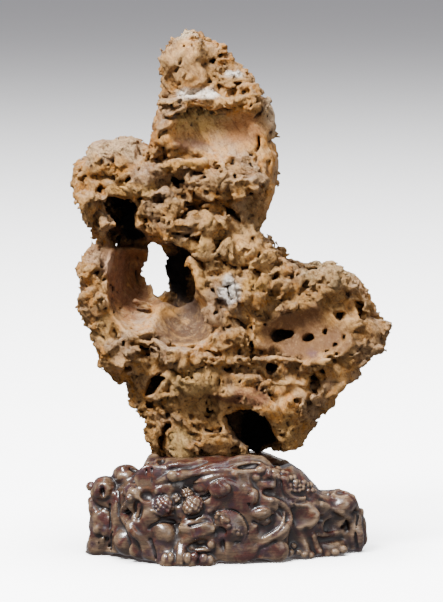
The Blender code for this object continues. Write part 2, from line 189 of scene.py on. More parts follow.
def spline_weights(count: int, cell: float, grain: float, shift: float) -> np.ndarray:
    """Cubic B-spline weights that carry a coarse row of values to a fine one.

    Args:
        count: Cells in the fine row.
        cell: Size of a fine cell.
        grain: Size of a coarse cell.
        shift: Offset of the coarse row, in coarse cells.

    Returns:
        A matrix of fine by coarse weights.
    """
    place = np.arange(count) * cell / grain + shift + 1
    base = np.floor(place).astype(int)
    part = place - base
    weights = np.zeros((count, base[-1] + 3), np.float32)
    rows = np.arange(count)
    parts = (
        (1 - part) ** 3 / 6,
        (3 * part**3 - 6 * part**2 + 4) / 6,
        (-3 * part**3 + 3 * part**2 + 3 * part + 1) / 6,
        part**3 / 6,
    )
    for step, values in enumerate(parts):
        weights[rows, base - 1 + step] = values
    return weights


def smoothstep(values: np.ndarray, low: float, high: float) -> np.ndarray:
    """Values eased from 0 at low to 1 at high."""
    share = np.clip((values - low) / (high - low), 0, 1)
    return share * share * (3 - 2 * share)


class Clay:
    """A block of clay: signed distances to its skin on an even grid, negative inside.

    worn is how smooth each place has been worn, from 0 to 1. warp bends the space that forms are
    added in, and even is the same bend without its finer layers.
    """

    def __init__(self, low: Triple, high: Triple, cell: float) -> None:
        """Lays out an empty grid.

        Args:
            low: The grid's lowest corner.
            high: Its highest corner.
            cell: The size of a cell.
        """
        self.low = low
        self.high = high
        self.cell = cell
        self.shape = tuple(math.ceil((b - a) / cell) + 1 for a, b in zip(low, high))
        self.gap = np.full(self.shape, FAR, np.float32)
        self.worn = np.zeros(self.shape, np.float32)
        self.warp = None
        self.even = None

    def axis(self, index: int) -> np.ndarray:
        """The places of the grid's points along one axis."""
        return (self.low[index] + self.cell * np.arange(self.shape[index])).astype(np.float32)

    def noise(self, grain: float, seed: int) -> np.ndarray:
        """Smooth seeded noise over the whole grid, with a mean of 0 and a spread of 1.

        Args:
            grain: The size of its lumps.
            seed: The seed of its draw.

        Returns:
            An array of the grid's shape.
        """
        draw = np.random.default_rng(seed)
        weights = []
        for count in self.shape:
            weights.append(spline_weights(count, self.cell, grain, draw.random()))
        values = draw.standard_normal([w.shape[1] for w in weights]).astype(np.float32)
        values = np.tensordot(weights[0], values, (1, 0))
        values = np.tensordot(values, weights[1], (1, 1))
        values = np.tensordot(values, weights[2], (1, 1))
        return values * np.float32(1 / values.std())

    def set_warp(self, layers: tuple[tuple[float, float, int], ...]) -> None:
        """Bends the space that forms are added in, so that none is a clean ellipsoid.

        Args:
            layers: The grain, the push and the seed of each layer of bending. Smoothly worn forms
                are bent by the first layer only.
        """
        self.even, self.warp = [], []
        for index in range(3):
            total = np.zeros(self.shape, np.float32)
            for grain, push, seed in layers:
                total = total + push * self.noise(grain, seed + index)
                if len(self.even) == index:
                    self.even.append(total)
            self.warp.append(total)

    def window(self, low: np.ndarray, high: np.ndarray, even: bool = False) -> tuple:
        """The part of the grid in a box, and the places of its points.

        Args:
            low: The box's lowest corner.
            high: Its highest corner.
            even: True to bend the space by the first layer only.

        Returns:
            The slices of the grid, and the x, y and z of its points.
        """
        cut = []
        for index in range(3):
            start = max(0, math.floor((low[index] - self.low[index]) / self.cell))
            stop = min(self.shape[index], math.ceil((high[index] - self.low[index]) / self.cell) + 1)
            cut.append(slice(start, max(start, stop)))
        cut = tuple(cut)
        places = []
        bend = self.even if even else self.warp
        for index in range(3):
            shape = [1, 1, 1]
            shape[index] = -1
            place = self.axis(index)[cut[index]].reshape(shape)
            if bend is not None:
                place = place + bend[index][cut]
            places.append(place)
        return cut, places

    def form_gap(self, form: Form, margin: float, even: bool) -> tuple:
        """Distances to an ellipsoid, in the window around it.

        Args:
            form: The ellipsoid.
            margin: How far the window reaches past it.
            even: True to bend the space by the first layer only.

        Returns:
            The window's slices and the distances.
        """
        turn = turning(form.lean, form.tip)
        size = np.array(form.size, np.float32)
        reach = np.sqrt(((turn * size[:, None]) ** 2).sum(0)) + margin
        at = np.array(form.at, np.float32)
        cut, places = self.window(at - reach, at + reach, even)
        x, y, z = (place - middle for place, middle in zip(places, at))
        first = second = 0
        for row, half in zip(turn, size):
            local = x * row[0] + y * row[1] + z * row[2]
            first = first + (local / half) ** 2
            second = second + (local / half**2) ** 2
        first = np.sqrt(first)
        return cut, first * (first - 1) / np.sqrt(second + 1e-9)

    def rib_gap(self, rib: Rib, margin: float, even: bool) -> tuple:
        """Distances to a ridge, in the window around it.

        Args:
            rib: The ridge.
            margin: How far the window reaches past it.
            even: True to bend the space by the first layer only.

        Returns:
            The window's slices and the distances.
        """
        points = np.array(rib.route, np.float32)
        last = rib.radius if rib.end is None else rib.end
        reach = max(rib.radius, last) + margin
        cut, (x, y, z) = self.window(points.min(0) - reach, points.max(0) + reach, even)
        steps = np.linalg.norm(np.diff(points, axis=0), axis=1)
        along = np.concatenate([[0], np.cumsum(steps)]) / steps.sum()
        gap = np.float32(FAR)
        for start, end, low, high in zip(points, points[1:], along, along[1:]):
            way = end - start
            dx, dy, dz = x - start[0], y - start[1], z - start[2]
            share = np.clip((dx * way[0] + dy * way[1] + dz * way[2]) / (way @ way), 0, 1)
            away = (dx - share * way[0]) ** 2 + (dy - share * way[1]) ** 2 + (dz - share * way[2]) ** 2
            radius = rib.radius + (last - rib.radius) * (low + (high - low) * share)
            gap = np.minimum(gap, np.sqrt(away) - radius)
        return cut, gap

    def prism_gap(self, prism: Prism, margin: float, even: bool) -> tuple:
        """Distances to a shaft, in the window around it.

        Args:
            prism: The shaft.
            margin: How far the window reaches past it.
            even: True to bend the space by the first layer only.

        Returns:
            The window's slices and the distances.
        """
        xs, zs = zip(*prism.outline)
        drop = prism.fall * (prism.end - prism.start)
        low = np.array([min(xs), prism.start, min(zs) - drop]) - margin
        high = np.array([max(xs), prism.end, max(zs)]) + margin
        cut, (x, y, z) = self.window(low, high, even)
        flat = polygon_gap(prism.outline, x, z + prism.fall * (y - prism.start))
        return cut, np.maximum(flat, np.maximum(prism.start - y, y - prism.end))

    def front(self, x: float, z: float, side: Side = Side.FRONT) -> float:
        """The y of the skin that is met first at an x and z, coming from a side.

        Args:
            x: Where, from left to right.
            z: How high.
            side: The side that it is met from.

        Returns:
            The y.
        """
        column = self.gap[round((x - self.low[0]) / self.cell), :, round((z - self.low[2]) / self.cell)]
        return float(self.axis(1)[::-side][np.argmax(column[::-side] < 0)])

    def measure(self, shape: Shape, margin: float, even: bool = False) -> tuple:
        """Distances to a shape, with the window that they fill.

        Args:
            shape: The shape.
            margin: How far the window reaches past it.
            even: True to bend the space by the first layer only.

        Returns:
            The window's slices and the distances.
        """
        if isinstance(shape, Form):
            return self.form_gap(shape, margin, even)
        if isinstance(shape, Prism):
            return self.prism_gap(shape, margin, even)
        return self.rib_gap(shape, margin, even)

    def add(self, shape: Shape, blend: float = 3.0) -> None:
        """Adds a form or a rib, filleted into what is there.

        Args:
            shape: What is added.
            blend: The width of the fillet.
        """
        cut, gap = self.measure(shape, blend + 2 * self.cell)
        here = self.gap[cut]
        fillet = np.maximum(blend - np.abs(here - gap), 0) ** 2 / (4 * blend)
        self.gap[cut] = np.minimum(here, gap) - fillet

    def cut(self, shape: Shape, blend: float = 2.0, wear: float = 0.0) -> None:
        """Carves a form or a rib out, and rounds its rim.

        Args:
            shape: What is carved out.
            blend: The width of the rim's rounding.
            wear: How smooth water has worn the carved wall, from 0 to 1.
        """
        cut, gap = self.measure(shape, blend + 6 * self.cell, wear > 0)
        here = self.gap[cut]
        fillet = np.maximum(blend - np.abs(here + gap), 0) ** 2 / (4 * blend)
        self.gap[cut] = np.maximum(here, -gap) + fillet
        if wear:
            near = wear * (1 - smoothstep(np.abs(gap), 1.5, 5.0))
            self.worn[cut] = np.maximum(self.worn[cut], near)

    def blur(self, values: np.ndarray, radius: float) -> np.ndarray:
        """Values averaged over a cube, twice along each axis.

        Args:
            values: An array on the grid.
            radius: The cube's half-width.

        Returns:
            The averages, as an array of the same shape.
        """
        reach = max(1, round(radius / self.cell))
        for _ in range(2):
            for index in range(3):
                pad = [(0, 0)] * 3
                pad[index] = (reach + 1, reach)
                total = np.cumsum(np.pad(values, pad, mode="edge"), axis=index, dtype=np.float32)
                top = np.take(total, range(2 * reach + 1, total.shape[index]), axis=index)
                low = np.take(total, range(0, total.shape[index] - 2 * reach - 1), axis=index)
                values = (top - low) / (2 * reach + 1)
        return values

    def read(self, values: np.ndarray, points: np.ndarray) -> np.ndarray:
        """Grid values read at points, straight-line between the grid's own.

        Args:
            values: An array of the grid's shape.
            points: Rows of x, y and z.

        Returns:
            One value for each point.
        """
        place = (points - np.array(self.low)) / self.cell
        place = np.clip(place, 0, np.array(self.shape) - 1.001)
        base = place.astype(int)
        part = place - base
        total = 0
        for corner in np.ndindex(2, 2, 2):
            share = np.prod(np.where(corner, part, 1 - part), axis=1)
            total = total + share * values[tuple((base + corner).T)]
        return total

    def skin(self, name: str, most: int) -> bpy.types.Object:
        """The clay's skin as one closed mesh object, in metres.

        Args:
            name: The object's name.
            most: About how many triangles it keeps.

        Returns:
            The object, linked into the scene.
        """
        grid = openvdb.FloatGrid(3.0)
        grid.copyFromArray(np.clip(self.gap, -3, 3))
        points, triangles, quads = grid.convertToPolygons(0.0, FLAT)
        points = (points * self.cell + np.array(self.low)) * MM
        obj = mesh_object(name, *largest_piece(points, triangles[:, ::-1], quads[:, ::-1]))
        select_only(obj)
        thin = obj.modifiers.new("thin", "DECIMATE")
        thin.ratio = min(1, most / len(obj.data.loop_triangles))
        bpy.ops.object.modifier_apply(modifier=thin.name)
        obj.data.shade_smooth()
        return obj


def select_only(obj: bpy.types.Object) -> None:
    """Leaves one object alone selected and active.

    Args:
        obj: The object.
    """
    bpy.ops.object.select_all(action="DESELECT")
    obj.select_set(True)
    bpy.context.view_layer.objects.active = obj


def largest_piece(points: np.ndarray, triangles: np.ndarray, quads: np.ndarray) -> tuple:
    """Drops the loose crumbs of a skin.

    Args:
        points: The skin's corners.
        triangles: Its three-sided faces, as corner numbers.
        quads: Its four-sided faces.

    Returns:
        The points, triangles and quads of the piece with the most corners.
    """
    sides = [triangles[:, :2], triangles[:, 1:], quads[:, :2], quads[:, 1:3], quads[:, 2:]]
    first, second = np.concatenate(sides).T.astype(np.int64)
    label = np.arange(len(points))
    while True:
        least = np.minimum(label[first], label[second])
        fresh = label.copy()
        np.minimum.at(fresh, label[first], least)
        np.minimum.at(fresh, label[second], least)
        fresh = fresh[fresh[fresh]]
        if (fresh == label).all():
            break
        label = fresh
    kept = label == np.bincount(label).argmax()
    number = np.cumsum(kept) - 1
    return points[kept], number[triangles[kept[triangles[:, 0]]]], number[quads[kept[quads[:, 0]]]]


def mesh_object(name: str, points: np.ndarray, triangles: np.ndarray,
                quads: np.ndarray) -> bpy.types.Object:
    """Makes a mesh object from arrays.

    Args:
        name: The object's name.
        points: Its corners, in metres.
        triangles: Its three-sided faces, as corner numbers.
        quads: Its four-sided faces.

    Returns:
        The object, linked into the scene.
    """
    mesh = bpy.data.meshes.new(name)
    loops = np.concatenate([triangles.ravel(), quads.ravel()]).astype(np.int32)
    starts = np.concatenate([np.arange(len(triangles)) * 3, triangles.size + np.arange(len(quads)) * 4])
    mesh.vertices.add(len(points))
    mesh.vertices.foreach_set("co", points.astype(np.float32).ravel())
    mesh.loops.add(len(loops))
    mesh.loops.foreach_set("vertex_index", loops)
    mesh.polygons.add(len(starts))
    mesh.polygons.foreach_set("loop_start", starts.astype(np.int32))
    mesh.update(calc_edges=True)
    mesh.calc_loop_triangles()
    obj = bpy.data.objects.new(name, mesh)
    bpy.context.scene.collection.objects.link(obj)
    return obj


@dataclass
class Cells:
    """An uneven honeycomb laid over a clay's skin: what every point near the skin knows of its cell.

    size and stretch give a cell's extent, band how near the skin a point must be, and stray how far
    a cell's middle moves. border is the distance to the cell's wall, in cells; draws and slope are
    random values of the cell, and away is the way from the cell's middle, in cells.
    """

    clay: Clay
    size: float
    seed: int
    stretch: Triple = (1.0, 1.0, 1.0)
    band: float = 4.0
    stray: float = 0.42

    def __post_init__(self) -> None:
        """Finds each point's cell."""
        clay, draw = self.clay, np.random.default_rng(self.seed)
        self.places = np.nonzero(np.abs(clay.gap) < self.band)
        points = np.stack([clay.axis(i)[self.places[i]] for i in range(3)], 1)
        points += np.stack([clay.warp[i][self.places] for i in range(3)], 1)
        spans = self.size * np.array(self.stretch, np.float32)
        points = (points - np.array(clay.low, np.float32) + 12) / spans
        counts = [int(points[:, i].max()) + 3 for i in range(3)]
        middles = (0.5 + self.stray * draw.uniform(-1, 1, (*counts, 3))).astype(np.float32)
        draws = draw.random((*counts, 4), dtype=np.float32)
        slopes = draw.standard_normal((*counts, 3), dtype=np.float32)
        base = np.floor(points - 0.5).astype(np.int32)
        first = np.full(len(points), 9, np.float32)
        second = first.copy()
        chosen = np.zeros((len(points), 3), np.int32)
        for corner in np.ndindex(2, 2, 2):
            cell = base + np.array(corner, np.int32)
            away = points - cell - middles[tuple(cell.T)]
            distance = np.sqrt((away**2).sum(1))
            closer = distance < first
            second = np.where(closer, first, np.minimum(second, distance))
            first = np.where(closer, distance, first)
            chosen[closer] = cell[closer]
        key = tuple(chosen.T)
        self.border = 0.5 * (second - first)
        self.draws = draws[key]
        self.away = points - chosen - middles[key]
        self.slope = slopes[key]

    def chip(self, depth: float, mask: np.ndarray) -> None:
        """Breaks the skin into tilted flat faces, as brittle stone chips.

        Args:
            depth: How far the faces stand off, at most.
            mask: Where the chipping shows, from 0 to 1.
        """
        planes = 1.2 * (self.away * self.slope).sum(1) + 2 * self.draws[:, 0] - 1
        self.clay.gap[self.places] += depth * np.clip(planes, -1, 1) * mask[self.places]

    def hole(self, depth: float, share: np.ndarray, wall: float = 0.16) -> None:
        """Eats some of the cells away, leaving walls between them.

        Args:
            depth: How deep.
            share: The share of the cells that are eaten, from 0 to 1.
            wall: How thick the walls are, in cells.
        """
        eaten = self.draws[:, 1] < share[self.places]
        slope = smoothstep(self.border, 0.3 * wall, wall + 0.1) * (0.5 + 0.5 * self.draws[:, 2])
        self.clay.gap[self.places] += depth * slope * eaten

    def crack(self, depth: float, share: np.ndarray, wide: float = 0.07) -> None:
        """Opens cracks along the walls of some of the cells.

        Args:
            depth: How deep.
            share: The share of the cells that crack, from 0 to 1.
            wide: Half a crack's width, in cells.
        """
        opened = self.draws[:, 3] < share[self.places]
        self.clay.gap[self.places] += depth * (1 - smoothstep(self.border, 0, wide)) * opened


def pit(clay: Clay, count: int, sizes: tuple[float, float], seed: int, mask: np.ndarray) -> None:
    """Bores small holes scattered over the skin, most of them where the mask is strong.

    Args:
        clay: The block.
        count: How many are tried.
        sizes: The least and greatest half-width.
        seed: The seed of their places.
        mask: The share of the tries that are kept.
    """
    draw = np.random.default_rng(seed)
    shell = np.argwhere(np.abs(clay.gap) < 0.5 * clay.cell)
    picks = shell[draw.integers(0, len(shell), count)]
    for place in picks:
        keep, share, longer, lean, tip = draw.random(5)
        if keep > mask[tuple(place)]:
            continue
        radius = sizes[0] + (sizes[1] - sizes[0]) * share**2.5
        at = tuple(place * clay.cell + np.array(clay.low))
        size = (radius * (0.7 + 0.9 * longer), radius * 1.5, radius)
        clay.cut(Form(at, size, 180 * lean, 90 * tip - 45), blend=0.8)


# ---------------------------------------------------------------- rock

# The rock's outline as seen from the front, clockwise from the summit: x, z.
OUTLINE = (
    (-23, 399), (-9, 395), (6, 384.5), (22, 367), (28, 351), (36, 333), (40, 310), (38.5, 283),
    (30, 263), (27, 250), (40, 233), (53, 225), (76, 225), (92, 218), (105, 207), (113, 193),
    (124.5, 176), (122, 158), (108.5, 143), (88, 126), (80, 112), (66, 97), (58, 82), (46, 76.5),
    (31, 77.5), (20, 70), (-42, 66), (-55, 77), (-60, 92), (-61, 104), (-73, 118), (-76, 131),
    (-95, 142), (-99, 160), (-106, 172), (-114, 190), (-109.5, 204), (-114.5, 218), (-107, 230),
    (-89.5, 240), (-105, 257), (-115.5, 274), (-117, 287), (-115.5, 296), (-106, 302), (-101, 312),
    (-72, 320.5), (-58, 313.5), (-51, 336), (-48, 360), (-50, 379), (-44, 391), (-34, 397),
)
# How deep the rock is behind and in front of its middle: z, half-depth, middle.
DEPTHS = ((66, 28, 0), (100, 33, 0), (150, 37, -2), (190, 36, -3), (230, 33, -2), (280, 33, 0),
          (330, 31, 1), (352, 28, 4), (375, 24, 6), (401, 19, 7))


@dataclass
class Rock:
    """The limestone: its body, what is laid on it and carved out of it, and its weathering.

    edge is the rounding between the outline and the depth, and pull how far the body stays inside
    the outline before its lumps go on.
    """

    cell: float = 1.0
    triangles: int = 196_000
    low: Triple = (-128, -60, 62)
    high: Triple = (133, 60, 407)
    edge: float = 26.0
    pull: float = 1.5
    clay: Clay = field(init=False)

    def body(self) -> None:
        """Thickens the outline into a body with round edges."""
        clay = self.clay
        heights, halves, middles = zip(*DEPTHS)
        y, z = clay.axis(1)[None, :, None], clay.axis(2)[None, None, :]
        self.flat = polygon_gap(OUTLINE, clay.axis(0)[:, None], clay.axis(2)[None, :])[:, None, :]
        flat = self.flat + clay.warp[0] + self.pull
        deep = np.abs(y + clay.warp[1] - np.interp(z, heights, middles)) - np.interp(z, heights, halves)
        flat = (flat + self.edge).astype(np.float32)
        deep = (deep + self.edge).astype(np.float32)
        outside = np.sqrt(np.maximum(flat, 0) ** 2 + np.maximum(deep, 0) ** 2)
        clay.gap = np.minimum(np.maximum(flat, deep), 0) + outside - self.edge

    def trim(self) -> None:
        """Takes off what stands outside the outline."""
        over = self.flat + 0.6 * self.clay.warp[0]
        fillet = np.maximum(6 - np.abs(self.clay.gap - over), 0) ** 2 / 24
        self.clay.gap = np.maximum(self.clay.gap, over) + fillet

    def add(self, *shapes: Shape, blend: float = 4.0) -> None:
        """Adds shapes to the clay."""
        for shape in shapes:
            self.clay.add(shape, blend)

    def cut(self, *shapes: Shape, blend: float = 2.0, wear: float = 0.0) -> None:
        """Carves shapes out of the clay."""
        for shape in shapes:
            self.clay.cut(shape, blend, wear)

    def wear(self, *forms: Form) -> None:
        """Marks the skin inside the forms as worn smooth."""
        self.clay.worn = np.maximum(self.clay.worn, self.zone(*forms))

    def zone(self, *forms: Form) -> np.ndarray:
        """A mask that is 1 inside some forms and fades out over a few millimetres.

        Args:
            *forms: The forms.

        Returns:
            An array of the grid's shape.
        """
        mask = np.zeros(self.clay.shape, np.float32)
        for form in forms:
            cut, gap = self.clay.measure(form, 6)
            mask[cut] = np.maximum(mask[cut], 1 - smoothstep(gap, -5, 5))
        return mask

    def lumps(self) -> None:
        """The main lumps on the front."""
        self.add(
            Form((-20, -27, 347), (28, 14, 3.6), 1, 14),
            Form((-2, -32, 288), (31, 17, 15)),
            Form((-31, -8, 372), (19, 17, 26), 10),
            Form((16, -18, 344), (13, 18, 14), -40),
            Form((5, -22, 364), (9, 8, 3), -8, 20),
            Form((-40, -22, 318), (14, 18, 20), 12),
            Form((-84, -16, 301), (21, 24, 14)),
            Form((-107, -2, 294), (10, 20, 9)),
            Form((-102, -14, 268), (10, 28, 19)),
            Form((-94, -24, 253), (9, 20, 8), -20),
            Form((-64, -26, 288), (16, 20, 14), 15),
            Form((-49, -32, 265), (19, 18, 17)),
            Form((-44, -36, 251), (13, 12, 8)),
            Form((-14, -36, 256), (20, 13, 11), 25),
            Form((12, -22, 236), (24, 26, 18), -25),
            Form((14, -20, 205), (27, 31, 28)),
            Form((-20, -35, 238), (14, 10, 9), 0, -24),
            Form((9, -38, 172), (7, 12, 11)),
            Form((-3, -36, 164), (8, 12, 7), 20),
            Form((-24, -36, 154), (48, 17, 8), -4),
            Form((78, -8, 207), (26, 32, 14)),
            Form((104, -4, 175), (14, 28, 15)),
            Form((74, -20, 152), (26, 26, 12), 30),
            Form((54, -14, 119), (18, 26, 18), 40),
            Form((-76, -18, 160), (18, 32, 18), -20),
            Form((-102, -10, 222), (11, 32, 15)),
            Form((-96, -16, 196), (15, 32, 18)),
            Form((-24, -38, 138), (20, 14, 12)),
            Form((-31, -20, 90), (13, 19, 20)),
            Form((-54, -14, 98), (6, 20, 18), 8),
        )

    def back(self) -> None:
        """The lumps and scoops of the far side."""
        self.add(
            Form((-2, 26, 306), (28, 22, 34), 14),
            Form((4, 30, 268), (22, 22, 14), -16),
            Form((-74, 22, 292), (32, 22, 16), 6),
            Form((-98, 18, 214), (12, 24, 20), -6),
            Form((12, 24, 226), (20, 26, 26), -24),
            Form((34, 32, 196), (24, 22, 20), 20),
            Form((82, 18, 190), (28, 24, 22), 10),
            Form((66, 26, 146), (24, 20, 14), 32),
            Form((-74, 24, 168), (20, 24, 22), -24),
            Form((-22, 30, 152), (36, 22, 16), -8),
            Form((34, 24, 116), (22, 22, 18), 34),
            Form((-26, 20, 92), (22, 22, 22)),
            Form((-24, 14, 366), (18, 18, 24), 8),
        )
        self.cut(
            Form((-24, 50, 242), (22, 26, 15), 34),
            Form((-56, 48, 215), (15, 28, 25), 8),
            Form((34, 54, 254), (30, 32, 13), -34),
            Form((92, 54, 160), (26, 30, 12), 40),
            Form((52, 54, 172), (9, 24, 24), -24),
            Form((-34, 50, 334), (26, 26, 9), 40),
            Form((-52, 54, 306), (9, 28, 20), 18),
            Form((18, 48, 344), (22, 22, 13), -52),
            Form((-30, 54, 124), (30, 34, 13), -12),
            Form((14, 54, 136), (12, 26, 12), 20),
            Form((-92, 36, 258), (14, 24, 12), -20),
            Form((98, 4, 128), (12, 14, 10), 35),
            Form((14, 54, 84), (14, 24, 18), -6),
            wear=0.8,
        )
        self.add(
            Rib(((-40, 34, 352), (-16, 40, 326), (6, 44, 300), (16, 46, 268), (4, 48, 240)), 7, 5),
            Rib(((-96, 34, 214), (-82, 42, 184), (-56, 46, 168), (-24, 46, 166), (6, 44, 180)), 7, 5),
            Rib(((-70, 38, 140), (-34, 44, 148), (6, 46, 150), (48, 44, 138), (84, 30, 150)), 6, 5),
            Rib(((-52, 34, 100), (-30, 44, 112), (0, 46, 110), (30, 40, 96)), 7, 5),
        )
        self.bore(Side.BACK, (
            (20, 330, 6, 4, 20), (-34, 300, 5, 8, -20), (-86, 300, 6, 4, 10), (-4, 268, 8, 4, 35),
            (40, 205, 6, 8, -14), (92, 184, 7, 5, 12), (4, 196, 4, 6, 0), (50, 170, 5, 4, 0),
            (-90, 190, 5, 8, 14), (-40, 142, 8, 4, -18), (20, 132, 5, 6, 10), (66, 118, 5, 7, -24),
            (-44, 96, 4, 7, 0), (-20, 372, 4, 7, 16),
        ))

    def caves(self) -> None:
        """The scoops and caves of the front, whose walls water has worn smooth."""
        self.cut(
            Form((-66, -58, 213), (26, 80, 40), 8),
            Form((-36, -24, 214), (13, 30, 18)),
            Form((-33, -54, 186), (27, 48, 24), -22),
            Form((-4, -51, 323), (42, 29, 21)),
            Form((61, -62, 174), (46, 34, 25)),
            Form((96, -44, 190), (8, 18, 10)),
            Form((12, -58, 111), (25, 30, 21), -22),
            Form((54, -34, 66), (26, 44, 16), -8),
            wear=1.0,
        )
        self.add(
            Rib(((-98, -14, 264), (-94, -10, 248), (-96, -8, 236), (-100, -10, 222)), 5.5),
            Rib(((-98, 14, 262), (-93, 16, 246), (-96, 14, 236)), 6),
            Form((-84, 34, 256), (16, 12, 20)),
        )
        self.cut(
            Prism(((-92, 277), (-82, 278.5), (-73, 277), (-66, 270), (-69, 262), (-67, 252), (-61, 247),
                   (-58, 236), (-90, 236), (-92, 248), (-84, 254), (-86, 259), (-91, 266), (-93, 272)),
                  -60, 15, 0.02),
            Prism(((-50, 241), (-38, 240), (-29, 234), (-22, 222), (-21, 206), (-25, 196), (-36, 190),
                   (-50, 193), (-56, 200), (-46, 212), (-44, 222), (-46, 230)), -60, 18, 0.05),
            Prism(((0, 113), (2, 105), (9, 92), (16, 85), (18, 60), (42, 60), (43, 82), (41, 92),
                   (37, 104), (31, 113), (23, 118), (10, 117)), -60, 12, 0.05),
            Prism(((-63, 126), (-60, 132), (-57, 140), (-50, 144), (-44, 143), (-48, 138), (-51, 132),
                   (-56, 127)), -60, -14),
            wear=0.6,
        )
        self.cut(
            Prism(((-60, 244), (-55, 246), (-49, 243), (-45, 236), (-45, 228), (-46, 222), (-44, 217),
                   (-45, 210), (-49, 204), (-53, 202), (-57, 204), (-59, 211), (-60, 219), (-59, 226),
                   (-60, 234)), -45, 70),
            wear=0.5,
        )
        self.cut(
            Form((-14, -50, 374), (60, 26, 22)),
            Form((28, -56, 146), (38, 14, 5), -3),
            Form((-24, -50, 112), (17, 12, 11)),
            Form((-46, -34, 89), (2.6, 30, 12), -4),
        )

    def ribs(self) -> None:
        """The ledges and ridges that stand on the front."""
        self.add(
            Rib(((-40, -36, 349), (-20, -39, 349), (4, -37, 349), (16, -33, 348)), 2),
            Rib(((-43, -30, 343), (-45, -31, 328), (-51, -31, 313), (-60, -29, 301)), 4.4),
            Rib(((24, -15, 341), (28, -19, 326), (26, -20, 300), (26, -18, 280), (22, -16, 264)), 9),
            Rib(((-52, -36, 294), (-36, -40, 298), (-20, -40, 303)), 4),
            Rib(((-28, -34, 224), (-16, -38, 210), (-9, -40, 198), (-9, -40, 184)), 4.5),
            Rib(((-68, -8, 191), (-52, -11, 186), (-36, -12, 180), (-22, -14, 174)), 3.2, 1),
            Rib(((-84, -38, 178), (-66, -44, 172), (-48, -46, 162), (-28, -48, 154), (-6, -49, 152),
                 (16, -48, 155), (40, -45, 154), (66, -42, 152), (88, -34, 154)), 2.8, 2),
            Rib(((-8, -46, 142), (16, -47, 139), (40, -44, 135), (60, -40, 133)), 2.8, 2),
            Rib(((-4, -44, 133), (12, -46, 131), (28, -44, 123), (40, -39, 112), (46, -33, 100),
                 (49, -29, 88)), 6),
            Rib(((102, -14, 196), (110, -12, 186), (117, -8, 175)), 4),
        )
        self.wear(
            Form((-33, -24, 376), (15, 22, 19), 20),
            Form((-18, -30, 353), (26, 16, 8), 1, 14),
            Form((-32, -36, 88), (9, 12, 11)),
            Form((-20, -42, 239), (12, 10, 7)),
            Form((-78, -40, 140), (10, 20, 20)),
            Form((88, -34, 132), (14, 20, 14)),
            Form((33, -14, 300), (12, 26, 44)),
            Form((14, -28, 238), (15, 20, 9), -30),
            Form((-6, -24, 326), (34, 14, 16)),
            Form((60, -32, 174), (33, 14, 18)),
            Form((-36, -16, 176), (24, 26, 16), -18),
            Form((52, -40, 124), (22, 14, 12), 34),
        )

    def score(self, radius: float, deep: float, *paths: tuple[tuple[float, float], ...]) -> None:
        """Cuts grooves along the skin of the front.

        Args:
            radius: The half-width of the tool.
            deep: How far its middle is sunk under the skin.
            paths: The x and z of the points of each groove.
        """
        for path in paths:
            self.cut(Rib(tuple((x, self.clay.front(x, z) + deep, z) for x, z in path), radius), blend=1)

    def bore(self, side: Side, holes: tuple[tuple[float, float, float, float, float], ...],
             deepest: float = 30) -> None:
        """Bores holes from the front or the back.

        Args:
            side: The side that it is on.
            holes: The x, z, half-width, half-height and lean of each mouth.
            deepest: The most that they are deep.
        """
        for x, z, wide, high, lean in holes:
            deep = min(deepest, 3 + 0.9 * (wide + high))
            self.clay.cut(Form((x, self.clay.front(x, z, side), z), (wide, deep, high), lean), 1.0)

